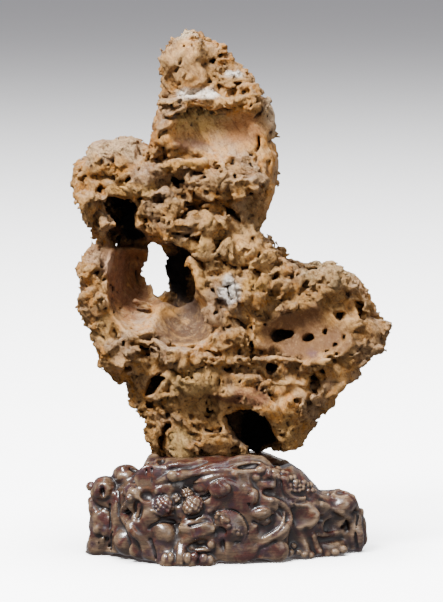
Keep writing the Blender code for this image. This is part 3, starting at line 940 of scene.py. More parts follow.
    def holes(self) -> None:
        """The dark holes of the front."""
        self.bore(Side.FRONT, (
            (42, 171, 8.5, 5.2, 8), (62, 168, 5.5, 3.6, 14), (88, 186, 4, 5, 10),
            (103, 189, 3, 9, 14), (36, 145, 5.5, 4.6, -28), (68, 131, 5, 7, 6),
            (26, 220, 3.4, 4.6, 14), (40, 225, 6, 2.4, 16), (-51, 275, 4.4, 3.8, 0),
            (-27, 264, 11, 3.8, 40), (-8, 267, 4, 5, 20), (5, 261, 9, 3.2, -48),
            (18, 277, 3, 6, 12), (-67, 296, 3.4, 4.6, -28), (-75, 290, 3, 4, -14),
            (-62, 160, 8, 3.6, -32), (-53, 156, 3.4, 4.4, 10), (-57, 116, 5, 4.6, 0),
            (-75, 146, 5, 3, -25), (-100, 218, 4.6, 2.4, 12), (-99, 261, 3, 2.4, -10),
            (-98, 254, 3.6, 2, 0), (-20, 224, 8, 3, -42), (-14, 160, 8, 2.4, -18),
            (20, 345, 7, 1.8, 30), (-9, 377, 3.4, 3.6, -30), (-58, 305, 5, 3, 38),
            (-12, 115, 4, 5, 0), (-36, 288, 6, 3, 24), (25, 315, 1.8, 5, -8), (20, 165, 2.6, 4, 0),
            (-85, 238, 1.8, 3.4, 0), (-32, 246, 7, 1.8, -4), (4, 203, 1.8, 5, 12),
            (49, 217, 2, 2, 0), (40, 216, 2.6, 3, 0), (-92, 213, 3, 1.4, 0), (-104, 229, 2.4, 2, 0),
            (-75, 169, 2.2, 2.2, 0), (-67, 169, 2, 1.6, 0), (-106, 295, 4, 1.2, 20),
            (-113, 294, 1.6, 1.6, 0), (-91, 304, 1.8, 2.6, 0), (-26, 148, 1.6, 1.6, 0),
            (-42, 102, 2.6, 1.8, 0), (45, 97, 2, 2, 0), (35, 128, 4, 2, -10), (20, 154, 2, 1.6, 0),
            (76, 173, 2, 2.4, 0), (84, 164, 2.4, 1.8, 0), (90, 168, 1.8, 2.6, 0), (86, 158, 2, 1.4, 0),
            (58, 120, 3, 1.6, -20), (74, 140, 2, 2, 0), (-7, 189, 1.4, 1.4, 0), (25, 194, 5, 1.8, 10),
            (-29, 374, 1.2, 1.4, 0), (-22, 378, 1.6, 2, 0), (-35, 387, 1, 1, 0), (-3, 381, 2, 1.8, 0),
            (12, 354, 4, 3, 20), (14, 365, 4, 1.2, -24), (-56, 314, 2.6, 1.2, -30),
            (-95, 283, 3.6, 5, 10), (-108, 281, 2.4, 2.4, 0), (-35, 265, 2.4, 2.4, 0),
            (34, 314, 1.6, 1.6, 0), (-17, 255, 2, 1.8, 0), (-32, 253, 3, 1.4, 0), (-8, 300, 3, 1.4, 10),
            (8, 292, 4, 1.4, 14), (-44, 306, 3, 1.6, 30), (2, 276, 3, 2, 30), (22, 246, 3, 1.8, -40),
            (60, 209, 3, 2, 20), (72, 205, 2.4, 2, 0), (84, 208, 2.6, 1.8, 0), (30, 180, 2, 1.4, 0),
        ))
        self.bore(Side.FRONT, ((-69, 209, 3, 6.5, 8),), 4)

    def break_up(self) -> None:
        """Breaks the body into large facets, before the details go on."""
        clay = self.clay
        clay.gap += 0.8 * clay.noise(15, 11)
        even = np.ones(clay.shape, np.float32)
        Cells(clay, 24, 20, band=5).chip(3.4, even)
        Cells(clay, 13, 21, (0.9, 1, 1.25), band=5).chip(2.4, even)

    def weather(self) -> None:
        """Chips and pits the skin, except where water wore it smooth."""
        clay = self.clay
        rough = 1 - 0.92 * clay.blur(clay.worn, 1.5)
        sponge = self.zone(
            Form((72, -10, 216), (36, 40, 18), -10),
            Form((104, -10, 176), (18, 30, 26)),
            Form((-108, -10, 293), (16, 30, 18)),
            Form((-22, -38, 274), (42, 20, 26), 20),
            Form((-56, -36, 262), (12, 20, 18)),
            Form((-98, -20, 195), (18, 30, 34)),
            Form((4, -20, 374), (22, 26, 16), -35),
            Form((0, -40, 291), (34, 18, 10)),
            Form((-26, -46, 138), (24, 20, 12)),
            Form((64, -34, 128), (24, 20, 20), 30),
            Form((16, -40, 170), (12, 18, 18)),
            Form((8, -40, 222), (20, 18, 14)),
            Form((-68, -40, 170), (22, 14, 10), -30),
        ) * rough
        patchy = smoothstep(clay.noise(18, 13), -0.2, 1.2) * rough
        large = Cells(clay, 11, 24, (1.3, 1, 0.8))
        large.chip(1.5, rough)
        large.crack(2.0, 0.2 * rough + 0.2 * sponge)
        Cells(clay, 17, 25, (0.8, 1, 1.5)).crack(3.0, 0.3 * rough, 0.05)
        middle = Cells(clay, 6.5, 22, (1.1, 1, 0.9))
        middle.chip(1.25, 0.12 + 0.88 * rough)
        middle.hole(3.0, 0.03 * rough + 0.13 * sponge)
        middle.crack(1.2, 0.1 * rough + 0.2 * sponge, 0.08)
        small = Cells(clay, 3.5, 23, (1.2, 1.2, 0.9))
        small.chip(0.85, 0.1 + 0.9 * rough)
        small.hole(2.2, 0.04 * rough + 0.16 * patchy + 0.25 * sponge)
        clay.gap += 0.25 * clay.noise(2.2, 14) * (0.2 + 0.8 * rough)
        pit(clay, 2600, (0.7, 2.2), 31, 0.06 * rough + 0.35 * patchy + 0.35 * sponge)

    def build(self) -> bpy.types.Object:
        """Models the rock.

        Returns:
            The rock's mesh object.
        """
        self.clay = Clay(self.low, self.high, self.cell)
        self.clay.set_warp(((24, 1.3, 1), (9, 0.9, 4), (4.5, 0.4, 7)))
        self.body()
        self.lumps()
        self.back()
        self.break_up()
        self.trim()
        self.caves()
        self.ribs()
        self.holes()
        self.score(
            1.7, 0,
            ((-24, 394), (-33, 384), (-41, 370)), ((-16, 390), (-26, 377), (-36, 362), (-44, 352)),
            ((-14, 380), (-21, 369), (-28, 360)), ((-10, 372), (-15, 364), (-20, 358)),
            ((30, 334), (26, 318), (30, 300), (33, 284)), ((22, 300), (26, 284), (24, 266)),
            ((33, 322), (34, 306), (36, 292)), ((26, 246), (14, 238), (4, 228)),
        )
        self.weather()
        return self.clay.skin("limestone_rock", self.triangles)


# ---------------------------------------------------------------- stand


# The stand's outline as seen from above: x, y.
PLAN = (
    (-102, -6), (-98, -18), (-86, -31), (-70, -43), (-54, -53), (-34, -58), (0, -57), (28, -54),
    (48, -45), (64, -37), (80, -27), (94, -14), (101, 2), (99, 22), (84, 36), (60, 46), (30, 54),
    (-10, 56), (-44, 52), (-72, 40), (-92, 26), (-101, 12),
)
# How high its top edge is seen against what is behind: x, z.
TOPS = (
    (-104, 40), (-98, 52), (-90, 60), (-82, 64), (-70, 69.5), (-62, 77.5), (-52, 83), (-20, 84),
    (10, 84), (24, 79), (32, 75), (42, 76), (50, 77.5), (58, 73), (65, 65), (72, 58.5), (80, 59),
    (88, 60), (95, 54), (100, 42), (103, 26),
)
# Where the front is looked at from: x, how far in front of the middle, z.
EYE = (-3.4, 2484.0, 476.5)
# How far from the middle, towards the eye, the upright plane stands on which looks are given.
PLANE = 60


@dataclass
class Stand:
    """The carved hardwood stand: a gnarled root with fungus caps, berries and paws, seated to the rock.

    seat is the gap left round the rock, shoulder the rounding of the top edge, tuck how far the foot
    draws in below the height foot, and slope how fast the top falls away from the front.
    """

    cell: float = 0.8
    triangles: int = 190_000
    low: Triple = (-113, -78, -6)
    high: Triple = (113, 76, 92)
    seat: float = 0.5
    shoulder: float = 14
    tuck: float = 10
    foot: float = 13
    slope: float = 0.17
    clay: Clay = field(init=False)

    def add(self, *shapes: Shape, blend: float = 2.5) -> None:
        """Adds shapes to the clay."""
        for shape in shapes:
            self.clay.add(shape, blend)

    def cut(self, *shapes: Shape, blend: float = 1.6) -> None:
        """Carves shapes out of the clay."""
        for shape in shapes:
            self.clay.cut(shape, blend)

    def body(self) -> None:
        """The root's mass, with a round shoulder, a tucked-in foot and a pad that it stands on."""
        clay = self.clay
        x, y, z = (clay.axis(0)[:, None, None], clay.axis(1)[None, :, None], clay.axis(2)[None, None, :])
        flat = polygon_gap(PLAN, x[:, :, 0], y[:, :, 0])[:, :, None] + clay.warp[0] + 1.0
        high = z + clay.warp[2] - np.interp(x, *zip(*TOPS)) + self.slope * (y + PLANE) + 1.5
        flat = (flat + self.shoulder).astype(np.float32)
        high = (high + self.shoulder).astype(np.float32)
        top = np.minimum(np.maximum(flat, high), 0)
        top += np.sqrt(np.maximum(flat, 0) ** 2 + np.maximum(high, 0) ** 2) - self.shoulder
        foot = np.maximum(flat - self.tuck, 0) ** 2 + np.maximum(self.foot - z, 0) ** 2
        foot = np.sqrt(foot) - self.tuck
        clay.gap = np.maximum(top, np.where(z < self.foot, foot, -FAR))
        self.add(
            Form((0, 0, 8), (72, 40, 14)),
            Form((-12, -2, 56), (50, 40, 20)),
            Form((-58, -44, 26), (16, 9, 20)),
            Form((-20, -48, 26), (34, 9, 22)),
            Form((-20, 44, 44), (34, 18, 24)),
            blend=8,
        )

    def see(self, x: float, z: float, y: float, side: Side = Side.FRONT) -> Triple:
        """The point at a depth y on the straight look through x and z on the plane.

        Args:
            x: Where the look crosses the plane.
            z: How high it crosses it.
            y: The depth of the point.
            side: The side that is looked at.

        Returns:
            The point.
        """
        far = (y - PLANE * side) / (PLANE * side - EYE[1] * side)
        return (x + far * (x - EYE[0]), y, z + far * (z - EYE[2]))

    def spot(self, x: float, z: float, side: Side = Side.FRONT) -> tuple[np.ndarray, np.ndarray]:
        """Where the look through x and z meets the skin, and the way out of the skin there.

        Args:
            x: Where the look crosses the plane.
            z: How high it crosses it.
            side: The side that is looked at.

        Returns:
            The place and the outward direction.
        """
        looks = np.array([self.see(x, z, side * y, side) for y in np.arange(77, -40, -0.5)])
        gaps = self.clay.read(self.clay.gap, looks)
        first = np.argmax(gaps < 0) if gaps.min() < 0 else np.argmin(gaps)
        place = looks[first]
        near = np.concatenate([place + 2.5 * np.eye(3), place - 2.5 * np.eye(3)])
        gaps = self.clay.read(self.clay.gap, near)
        out = gaps[:3] - gaps[3:]
        return place, out / np.linalg.norm(out)

    def swell(self, x: float, z: float, wide: float, tall: float, proud: float, turn: float = 0,
              blend: float = 3.0, side: Side = Side.FRONT) -> None:
        """Raises a rounded swelling on the skin, or sinks a hollow into it where proud is negative.

        Args:
            x: Where it is seen.
            z: How high it is seen.
            wide: Its half-width.
            tall: Its half-height.
            proud: How far it stands out of the skin.
            turn: Degrees anticlockwise.
            blend: The width of the fillet round it.
            side: The side that it is on.
        """
        place, out = self.spot(x, z, side)
        deep = 1.5 * abs(proud)
        centre = tuple(place - out * math.copysign(deep - abs(proud), proud))
        form = Form(centre, (wide, deep, tall), turn)
        (self.clay.add if proud > 0 else self.clay.cut)(form, blend)

    def line(self, path: tuple[tuple[float, float], ...], radius: float, proud: float,
             end: float | None = None, blend: float = 2.2, side: Side = Side.FRONT) -> None:
        """Raises a ridge that follows the skin, or cuts a groove along it where proud is negative.

        Args:
            path: Where it is seen: x and z.
            radius: Its half-width.
            proud: How far it stands out of the skin.
            end: Its half-width at the last point.
            blend: The width of the fillet beside it.
            side: The side that it is on.
        """
        path = np.array(path, float)
        along = np.concatenate([[0], np.cumsum(np.linalg.norm(np.diff(path, axis=0), axis=1))])
        steps = np.linspace(0, along[-1], max(3, round(along[-1] / 3)))
        route = np.stack([np.interp(steps, along, path[:, i]) for i in range(2)], 1)
        for _ in range(2):
            route[1:-1] = (route[:-2] + 2 * route[1:-1] + route[2:]) / 4
        sink = math.copysign(radius - abs(proud), proud)
        points = np.array([place - out * sink for place, out in (self.spot(x, z, side) for x, z in route)])
        points[1:-1] = (points[:-2] + 2 * points[1:-1] + points[2:]) / 4
        rib = Rib(tuple(map(tuple, points)), radius, end)
        (self.clay.add if proud > 0 else self.clay.cut)(rib, blend)

    def knots(self) -> None:
        """The soft swellings and hollows that cover the whole root, under the carved figures."""
        draw = np.random.default_rng(21)
        for side in Side:
            for index in range(34):
                x, z = -96 + 192 * draw.random(), 6 + 62 * draw.random()
                size = 7 + 7 * draw.random()
                proud = (1.5 + 1.5 * draw.random()) * (-1 if index % 3 == 0 else 1)
                self.swell(x, z, size, 0.8 * size, proud, 180 * draw.random(), 3.5, side)

    def left(self) -> None:
        """The left end: an eyed knob, thorns, a knobby column and a big ball."""
        see = self.see
        self.add(
            Form(see(-91, 59, -18), (9, 12, 9)),
            Form(see(-101, 59.5, -8), (3.6, 4, 3)),
            Form(see(-101, 48, -8), (3.4, 5, 4.4)),
            Form(see(-73.5, 69, -14), (10.5, 12, 8), -8),
            Form(see(-95, 34, -12), (8, 14, 13)),
            Form(see(-96, 14, -10), (9, 12, 8)),
            Form(see(-102, 9, -8), (5, 6, 2.6), -14),
            blend=3.5,
        )
        self.swell(-76.5, 17.5, 11, 11, 5.5, blend=2.5)
        self.swell(-64, 12, 10, 8, 3, blend=5)
        self.swell(-93, 34, 7, 10, 2, blend=3)
        for x, z, size in ((-98, 38, 3.6), (-92, 41, 3.4), (-88.5, 34, 3.6), (-97, 29, 3.4), (-91, 26, 3.8),
                           (-94, 19, 4.5), (-99, 43, 2.6)):
            self.swell(x, z, size, 1.2 * size, 0.5 * size, blend=1.5)
        self.line(((-99.5, 55), (-97, 50), (-91.5, 47.3), (-86, 49), (-83, 54)), 3.6, 2.6, blend=2)
        self.swell(-92.6, 57.5, 3, 5, -4.5, 12, 1.5)
        self.line(((-97, 54), (-97, 60), (-93, 64.5), (-88, 62), (-88, 55)), 1.8, 1.2, blend=1.2)
        self.swell(-92.5, 55, 1.6, 2.4, 1.6, blend=1)
        self.line(((-86, 66), (-83.5, 62), (-84, 56)), 1.8, 1, blend=1.5)
        self.swell(-77, 74, 3, 3, 1.6, blend=1.2)
        self.swell(-79, 69, 3, 3, 1.4, blend=1.2)
        self.swell(-69, 72.5, 4, 2.4, -2, -20, 1.4)
        self.swell(-70, 65, 8, 3.4, -3, -6, 3)
        self.line(((-82.5, 47), (-82.5, 38), (-83.5, 30), (-85, 24)), 3, 1.6, blend=2)
        self.line(((-86.7, 47), (-86.8, 38), (-87.5, 30)), 1.5, -2, blend=1)
        self.line(((-85.5, 26), (-88, 18), (-86, 10)), 1.2, -1.4, blend=0.8)
        self.line(((-93, 20), (-90.5, 14), (-91.5, 8)), 1.8, 1.5, blend=0.8)
        self.line(((-95.5, 17), (-95, 11)), 1.2, -1.2, blend=0.8)
        self.line(((-87.8, 15), (-88, 9)), 1.1, -1.1, blend=0.8)

    def loop(self) -> None:
        """The pale loop of root round a hollow, and the ball beside it."""
        self.swell(-73.5, 58, 7, 6.5, 4.5)
        self.line(((-79.6, 57), (-79.2, 48), (-79, 38)), 1.7, -3, blend=1)
        self.line(((-72, 58), (-74.3, 50), (-75.8, 42), (-74.2, 33.5), (-69, 26.5), (-63.5, 21.5),
                   (-61, 15), (-61.5, 8)), 3.8, 2.9, blend=2)
        self.line(((-70, 57), (-65, 51.5), (-60, 47), (-54, 43.5)), 3, 2.1, blend=2)
        self.swell(-66, 42.5, 4.6, 8.5, -4.5, 10, 2.5)
        self.line(((-65.2, 47), (-64.6, 42), (-65.8, 37.5)), 1.3, 1, blend=1)
        self.swell(-60, 52.5, 6, 5, -4, -20, 3)
        self.swell(-56, 36.5, 5, 6, 2, blend=4)
        self.swell(-46, 24.5, 8.6, 8.6, 5, blend=1.6)
        self.line(((-57, 27), (-54, 32), (-47, 33.8), (-39, 32.5)), 1.2, -1.4, blend=0.8)
        self.swell(-52, 11, 9, 9, 2.5, blend=5)
        self.line(((-57.5, 19), (-57, 10), (-54, 4)), 1.1, -1.1, blend=1)

    def roots(self) -> None:
        """The long roots under the seat."""
        see = self.see
        self.add(
            Rib((see(-58.5, 56, -42), see(-58.5, 67, -39), see(-57.5, 76, -34), see(-55, 81, -28)), 4.8),
            Rib((see(-2, 75.5, -47), see(4, 79.5, -46), see(11, 81.6, -44), see(18, 82, -42),
                 see(25.5, 80, -40), see(31, 76, -38), see(35, 70, -38), see(36, 64, -40)), 3.8, 3),
            blend=2.5,
        )
        self.line(((-60.5, 60), (-60.5, 70), (-59, 78)), 0.9, -0.8, blend=0.6)
        self.line(((-56.3, 58), (-56.3, 68), (-55, 78)), 0.9, -0.9, blend=0.6)
        self.cut(Form(see(-48.5, 80, -42), (3.4, 8, 4)))
        self.swell(-14, 61, 13, 5, 2.2, 14, 4)
        self.swell(-42, 58, 10, 4, 1.2, 6, 4)
        self.line(((-52, 70), (-42, 72.5), (-28, 76), (-14, 79.5)), 1.6, -2.8, blend=1)
        self.line(((-40, 66.8), (-46, 64.6), (-52, 62.5)), 4, 3, 1.4, 1.2)
        self.line(((-40, 66.8), (-28, 71), (-16, 75.5), (-7, 78)), 4, 3, 1.6, 1.2)
        self.line(((-52, 59.5), (-44, 60.8), (-35, 63), (-24, 67.5), (-12, 71.5)), 1.4, -2.4, blend=0.8)
        self.line(((-42, 75.5), (-28, 79), (-14, 82), (-3, 82)), 2.2, 1.4, blend=1.2)
        self.line(((-34, 67.5), (-22, 70.5), (-10, 72.5), (4, 73), (14, 70.5)), 3, 2, 1.8, 1.5)
        self.line(((-24, 64), (-12, 67), (0, 69), (8, 67)), 2, 1.2, blend=1.2)
        self.swell(6.5, 69.5, 3, 2.6, 1.8, blend=1)
        self.swell(17, 75.5, 9, 3.6, -3, 4, 1.6)
        self.line(((4, 75), (10, 78), (19, 79.2), (28, 77.5), (34, 73.5)), 1.2, 1, blend=0.6)
        self.line(((8, 72), (16, 72.5), (23, 72)), 1.2, 0.9, blend=0.8)
        self.swell(26.5, 72.5, 4.4, 4, 2.8, blend=1)
        self.swell(23, 67, 3.6, 3.2, 2.2, blend=1)
        self.swell(29.5, 67.5, 3, 3, 1.8, blend=1)
        self.swell(30, 61, 7, 3.4, 1.8, -6, 1.5)

    def paws(self) -> None:
        """The front paw with its hood, its toes and the pleats between them."""
        self.add(
            Form((-44, -57, 2), (8, 9, 8)),
            Form((-33, -57, 4), (6, 8, 12)),
            Form((-25, -59, 2), (6, 8, 7)),
            Form((-15, -57, 1), (7, 8, 6)),
            Form((-22, -54, 22), (14, 9, 13)),
            blend=3,
        )
        self.swell(-22, 28.5, 13, 6, 3, -4, 3)
        self.swell(-20, 15, 10, 5.5, -3.6, 6, 3)
        self.line(((-35.5, 16), (-31, 21), (-23, 23.5), (-15, 23.8), (-9.5, 26.5)), 2, 1.6, blend=1)
        self.line(((-34.5, 33), (-29, 34.5), (-25, 33), (-19, 37), (-13, 37.5), (-9.3, 32), (-9.3, 26)),
                  1.7, 1.3, 1.2, 1.2)
        self.line(((-33.5, 30), (-27, 30), (-21, 32.5), (-15, 33)), 1.2, -1.1, blend=1)
        self.swell(-11.5, 15.5, 3.6, 4, 3.4, blend=1)
        self.swell(-18.5, 18, 4, 2.2, 2, 8, 1)
        self.swell(-17, 11.5, 7, 2.6, 2.8, 4, 1)
        self.swell(-26, 13.5, 3, 3, 2, blend=1)
        for x, top in ((-37.4, 19), (-34.8, 20), (-32.2, 20)):
            self.line(((x, top), (x - 0.4, top / 2), (x - 0.6, 1)), 1.4, 1.1, blend=0.6)
        for x, z, wide in ((-47.5, 4.5, 3), (-42, 5.5, 3), (-28, 5, 3), (-22.5, 5.5, 3), (-16.5, 4, 3.2),
                           (-11, 2.5, 2.6)):
            self.swell(x, z, wide, 4.4, 1.8, blend=0.8)
        self.swell(-2.5, 14, 3.4, 6.5, -3.5, 4, 2.5)
        self.swell(-4.5, 56, 8, 7, 5, 0, 2)
        self.swell(-6.5, 60.5, 2.2, 3, 1.4, blend=1)
        self.swell(1, 57, 2.4, 3.4, 1.2, blend=1)
        self.swell(-14, 53, 5.5, 3.6, -2.8, 20, 2)
        self.line(((-27, 55), (-19, 52.5), (-13, 57.5), (-8, 63), (0, 65.3), (6, 61)), 1.9, 1.3, blend=1)
        self.line(((-3, 49), (-5, 44), (-12, 41)), 2, 1.2, blend=2)

    def berries(self, x: float, z: float, radius: float, bump: float, low: float,
                side: Side = Side.FRONT) -> None:
        """A round cluster of berries.

        Args:
            x: Where it is seen.
            z: How high it is seen.
            radius: Its half-size.
            bump: The size of a berry.
            low: How far down the ball the berries reach, from 1 at the top to -1.
            side: The side that it is on.
        """
        place, out = self.spot(x, z, side)
        at = place - 0.12 * radius * out
        self.add(Form(tuple(at), (radius, radius, radius)), blend=1.8)
        count = round(3.4 * (radius / bump) ** 2)
        for index in range(count):
            rise = 1 - 2 * (index + 0.5) / count
            if rise < low:
                continue
            ring = math.sqrt(1 - rise * rise)
            turn = 2.39996 * index
            way = np.array((ring * math.cos(turn), ring * math.sin(turn), rise))
            self.add(Form(tuple(at + (radius - 0.3) * way), (bump, bump, bump)), blend=0.5)

    def fungus(self) -> None:
        """The fungus caps, the berries and the curled petal of the front."""
        self.swell(-37.5, 50, 5, 6, -2.5, blend=2)
        self.berries(-37, 50, 4, 1.5, -0.8)
        self.berries(-46.6, 43.6, 7.6, 1.6, -0.2)
        self.line(((-54, 41), (-50, 37), (-45, 36), (-40, 38.5)), 1.5, 1.2, blend=0.8)
        self.berries(-28.5, 55, 5.6, 1.5, -0.6)
        self.berries(-25, 46, 7.4, 1.6, -0.5)
        self.swell(3, 31, 12.4, 12, 4.6, -20, 1.2)
        self.line(((-8, 25), (-9, 33), (-5.5, 40), (1.5, 42.6), (9, 39.5), (14, 32), (16.2, 24),
                   (13.5, 17.5), (6, 18)), 1, -1.3, blend=0.6)
        self.line(((-7, 27), (-7.4, 33.5), (-4.5, 39), (2, 41), (8, 38), (12.6, 31), (14.3, 24),
                   (12, 19.5)), 1.5, 1.1, blend=0.7)
        self.swell(-3, 25, 4.8, 4.8, -2.4, blend=2)
        self.line(((-6.8, 36), (-5.5, 40), (-1.4, 40), (0.3, 37), (-1.8, 34.6), (-4.6, 36.2)),
                  1.2, 1, blend=0.5)
        draw = np.random.default_rng(5)
        for index in range(22):
            x = -6 + 17 * draw.random()
            z = 36.5 - 0.85 * (x + 6) + 6 * (draw.random() - 0.5)
            size = 1.1 + 0.8 * draw.random()
            self.swell(x, z, size, size, 1.5, blend=0.4)
        self.swell(14, 50, 9, 8, 3, 0, 3)
        self.swell(20.5, 51, 4, 6, 3.4, -14, 1.4)
        self.line(((15.5, 57.5), (11.5, 53.5), (8.8, 46.5)), 2.8, 2.2, 2, 1)
        self.line(((14, 59.5), (18.5, 59), (22, 55.5)), 1.7, 1.2, blend=0.8)
        self.line(((15.5, 54), (14.5, 48), (16, 43)), 1.4, -1.8, blend=0.8)
        self.swell(12, 43.5, 5, 4, 1.5, blend=2)
        self.swell(34, 53.5, 7.5, 4, -2.8, -8, 2.5)
        self.swell(33.5, 29, 12.5, 9.5, -3, 24, 4)
        self.line(((35, 48), (41, 46.8), (46, 42.5), (48.8, 36.5), (48, 30.5), (42, 24), (33, 19.2),
                   (24, 15.4), (17, 11)), 2.8, 2, 1.3, 1)
        self.line(((50.6, 46), (53, 37.5), (51.8, 28.5), (45, 21), (35, 16.2), (26, 12.2)),
                  1.1, -1.5, blend=0.7)
        self.line(((43.3, 39), (44.4, 33), (41, 27.5), (35, 23.2), (27, 19.5)), 0.8, 0.6, blend=0.4)
        self.swell(26.5, 37, 9.6, 6.2, 6, 0, 1.2)
        self.swell(27, 32, 6, 4, 3, 0, 1.2)
        self.line(((18, 37.5), (20.5, 41.3), (24.5, 39.8), (28, 42), (32, 39.8), (35.2, 37.5)),
                  1.4, 1.2, blend=0.6)
        self.line(((19.5, 35.5), (25, 33.8), (31, 34), (35.5, 36)), 1, -1.1, blend=0.5)
        self.line(((18.5, 31.5), (23, 28), (30, 27.6), (35.5, 31)), 1.2, -1.6, blend=1)
        self.swell(38, 9.5, 9.5, 7.5, 3.5, 0, 3)
        self.swell(10, 9, 12, 6, 1.5, 0, 4)
        self.line(((45, 66), (44.6, 59.5), (47, 53.5), (52, 50.2), (59, 51.8)), 2.6, 2.2, 1.8, 0.8)
        self.line(((46.2, 65), (46.2, 59.5), (48.6, 54.6), (53, 52.2), (58.5, 53.2)), 0.7, -1.2, blend=0.4)
        self.line(((41.8, 65), (41.4, 57), (44.4, 50), (51, 46.6), (60, 48.2)), 1, -1.2, blend=0.6)

    def right(self) -> None:
        """The pebbled crest, the folded right end and its feet."""
        see = self.see
        self.add(
            Form(see(87, 48, -12), (11, 14, 10), 3),
            Form(see(96, 28, -2), (7, 15, 16)),
            Form((56, -28, 4), (13, 9, 7)),
            Form((78, -18, 5), (12, 9, 8)),
            Form((94, 6, 5), (9, 15, 8)),
            Form(see(101.5, 40, -2), (3.4, 5, 4)),
            Form(see(103, 31, 1), (3, 6, 5.6)),
            blend=4,
        )
        draw = np.random.default_rng(9)
        pebbles = []
        for column, row in np.ndindex(12, 7):
            x = 33 + 3.1 * column + 1.3 * (draw.random() - 0.5)
            z = 77.5 - 0.56 * (x - 33) - 3 * (row + 0.5 * (column % 2)) + 1.2 * (draw.random() - 0.5)
            if z > (66 if x < 48 else 58 - 0.2 * (x - 48)):
                pebbles.append((*self.spot(x, z), 1.5 + 0.8 * draw.random(), 180 * draw.random()))
        for place, out, size, turn in pebbles:
            centre = tuple(place + 0.1 * size * out)
            self.add(Form(centre, (1.25 * size, 1.3 * size, size), turn), blend=0.4)
        self.line(((47, 46.5), (56, 47.5), (66, 46), (75, 43.5)), 3.2, 2, 2, 2.5)
        self.swell(58, 35.5, 9, 5.5, -3.2, 0, 4)
        self.swell(73, 35.5, 8, 4.6, -3, 0, 3)
        self.line(((66, 54), (72, 51), (78, 51), (84, 51.5), (90, 52), (93, 54.5)), 2.2, 1.6, blend=1.2)
        self.swell(86, 55.6, 5, 2.4, -3.5, 6, 1.2)
        self.line(((72, 46.5), (80, 44.5), (87, 42), (93, 37.8), (95, 32)), 2.6, 2, blend=1.2)
        self.swell(84, 33, 6, 3.4, 0.6, 20, 3)
        self.line(((69, 22.8), (76, 22.4), (82, 24), (88, 27), (90, 31)), 2.4, 2, 1.6, 1.2)
        self.line(((70, 19), (78, 18.2), (87, 21)), 2, -1.4, blend=2)
        self.line(((59.5, 26), (62.5, 18), (66.5, 9)), 2.6, -3.2, blend=3)
        self.line(((66, 22), (69, 15), (72, 7)), 2.4, 1.8, blend=1.4)
        self.line(((95.5, 53), (99, 45), (100.5, 34), (100.3, 22), (99.5, 12)), 3, 1.8, blend=1.6)
        self.line(((99, 38), (97, 31), (96, 23), (97.5, 14)), 1.3, -2.2, blend=0.8)
        self.line(((93.5, 31), (93, 22), (94.5, 13)), 2, 1.4, blend=1.2)
        for x, z, size in ((48.5, 9, 3), (54, 9.5, 2.6), (58, 7, 3), (64, 7.5, 3), (50, 14, 3),
                           (82, 9.5, 3), (76, 8, 3.4), (88, 12, 3.4), (71, 10, 2.6)):
            self.swell(x, z, size, 0.9 * size, 0.6 * size, blend=1)
        self.swell(12, 2, 20, 4, -5, 0, 3)

    def back(self) -> None:
        """The far side: more caps, roots, a ball and a paw."""
        self.add(
            Form((-44, 54, 34), (20, 9, 13), -20),
            Form((46, 48, 30), (15, 10, 12), 30),
            Form((-74, 34, 18), (11, 12, 11)),
            Form((0, 56, 13), (15, 9, 12)),
            Form((-10, 60, 2), (6, 6, 6)),
            Form((4, 61, 2), (6, 6, 6)),
            Form((-66, 38, 4), (12, 12, 7)),
            Form((66, 34, 4), (12, 12, 7)),
            Form((-72, 22, 46), (11, 12, 9)),
            Form((74, 28, 28), (12, 12, 9)),
        )
        self.berries(16, 48, 8.5, 1.7, -0.5, Side.BACK)
        self.add(
            Rib(((-62, 44, 56), (-52, 50, 60), (-40, 52, 58), (-30, 54, 50), (-26, 56, 40)), 4),
            Rib(((-50, 34, 66), (-28, 42, 70), (0, 44, 68), (26, 40, 66), (44, 34, 60)), 5),
            Rib(((-56, 44, 52), (-30, 50, 58), (0, 52, 59), (28, 46, 57), (52, 36, 50)), 3.4),
            Rib(((-20, 56, 24), (0, 60, 26), (22, 58, 24), (40, 50, 18)), 4),
            Rib(((-58, 52, 44), (-62, 54, 34), (-56, 58, 25), (-42, 60, 22), (-30, 60, 28)), 2.6),
            Rib(((34, 52, 42), (48, 54, 42), (58, 50, 34), (56, 50, 24), (44, 54, 19)), 2.6),
            Rib(((70, 36, 34), (82, 32, 31), (92, 24, 26), (98, 18, 20)), 3),
            blend=1.8,
        )
        self.cut(
            Form((-8, 66, 34), (7, 10, 9), -20),
            Form((34, 62, 12), (10, 12, 8)),
            Form((-40, 62, 8), (12, 12, 7)),
            Form((78, 42, 44), (5, 8, 4)),
            Form((-56, 60, 60), (7, 10, 4), 20),
        )

    def carve_surface(self) -> None:
        """The hand-cut unevenness of the wood."""
        clay = self.clay
        clay.gap += 0.45 * clay.noise(10, 51) + 0.16 * clay.noise(4, 52)

    def fit(self, rock: Rock) -> None:
        """Cuts the seat to the rock's own underside, and the flat base.

        Args:
            rock: The finished rock.
        """
        clay = self.clay
        x, y, z = (clay.axis(i) for i in range(3))
        clay.gap[:, :, z < 0] = np.maximum(clay.gap[:, :, z < 0], -z[z < 0])
        near = clay.gap < 4
        near[:, :, z < rock.clay.low[2]] = False
        places = np.argwhere(near)
        points = np.stack([axis[places[:, i]] for i, axis in enumerate((x, y, z))], 1)
        gaps = rock.clay.read(rock.clay.gap, points)
        spot = tuple(places.T)
        clay.gap[spot] = np.maximum(clay.gap[spot], self.seat - gaps)

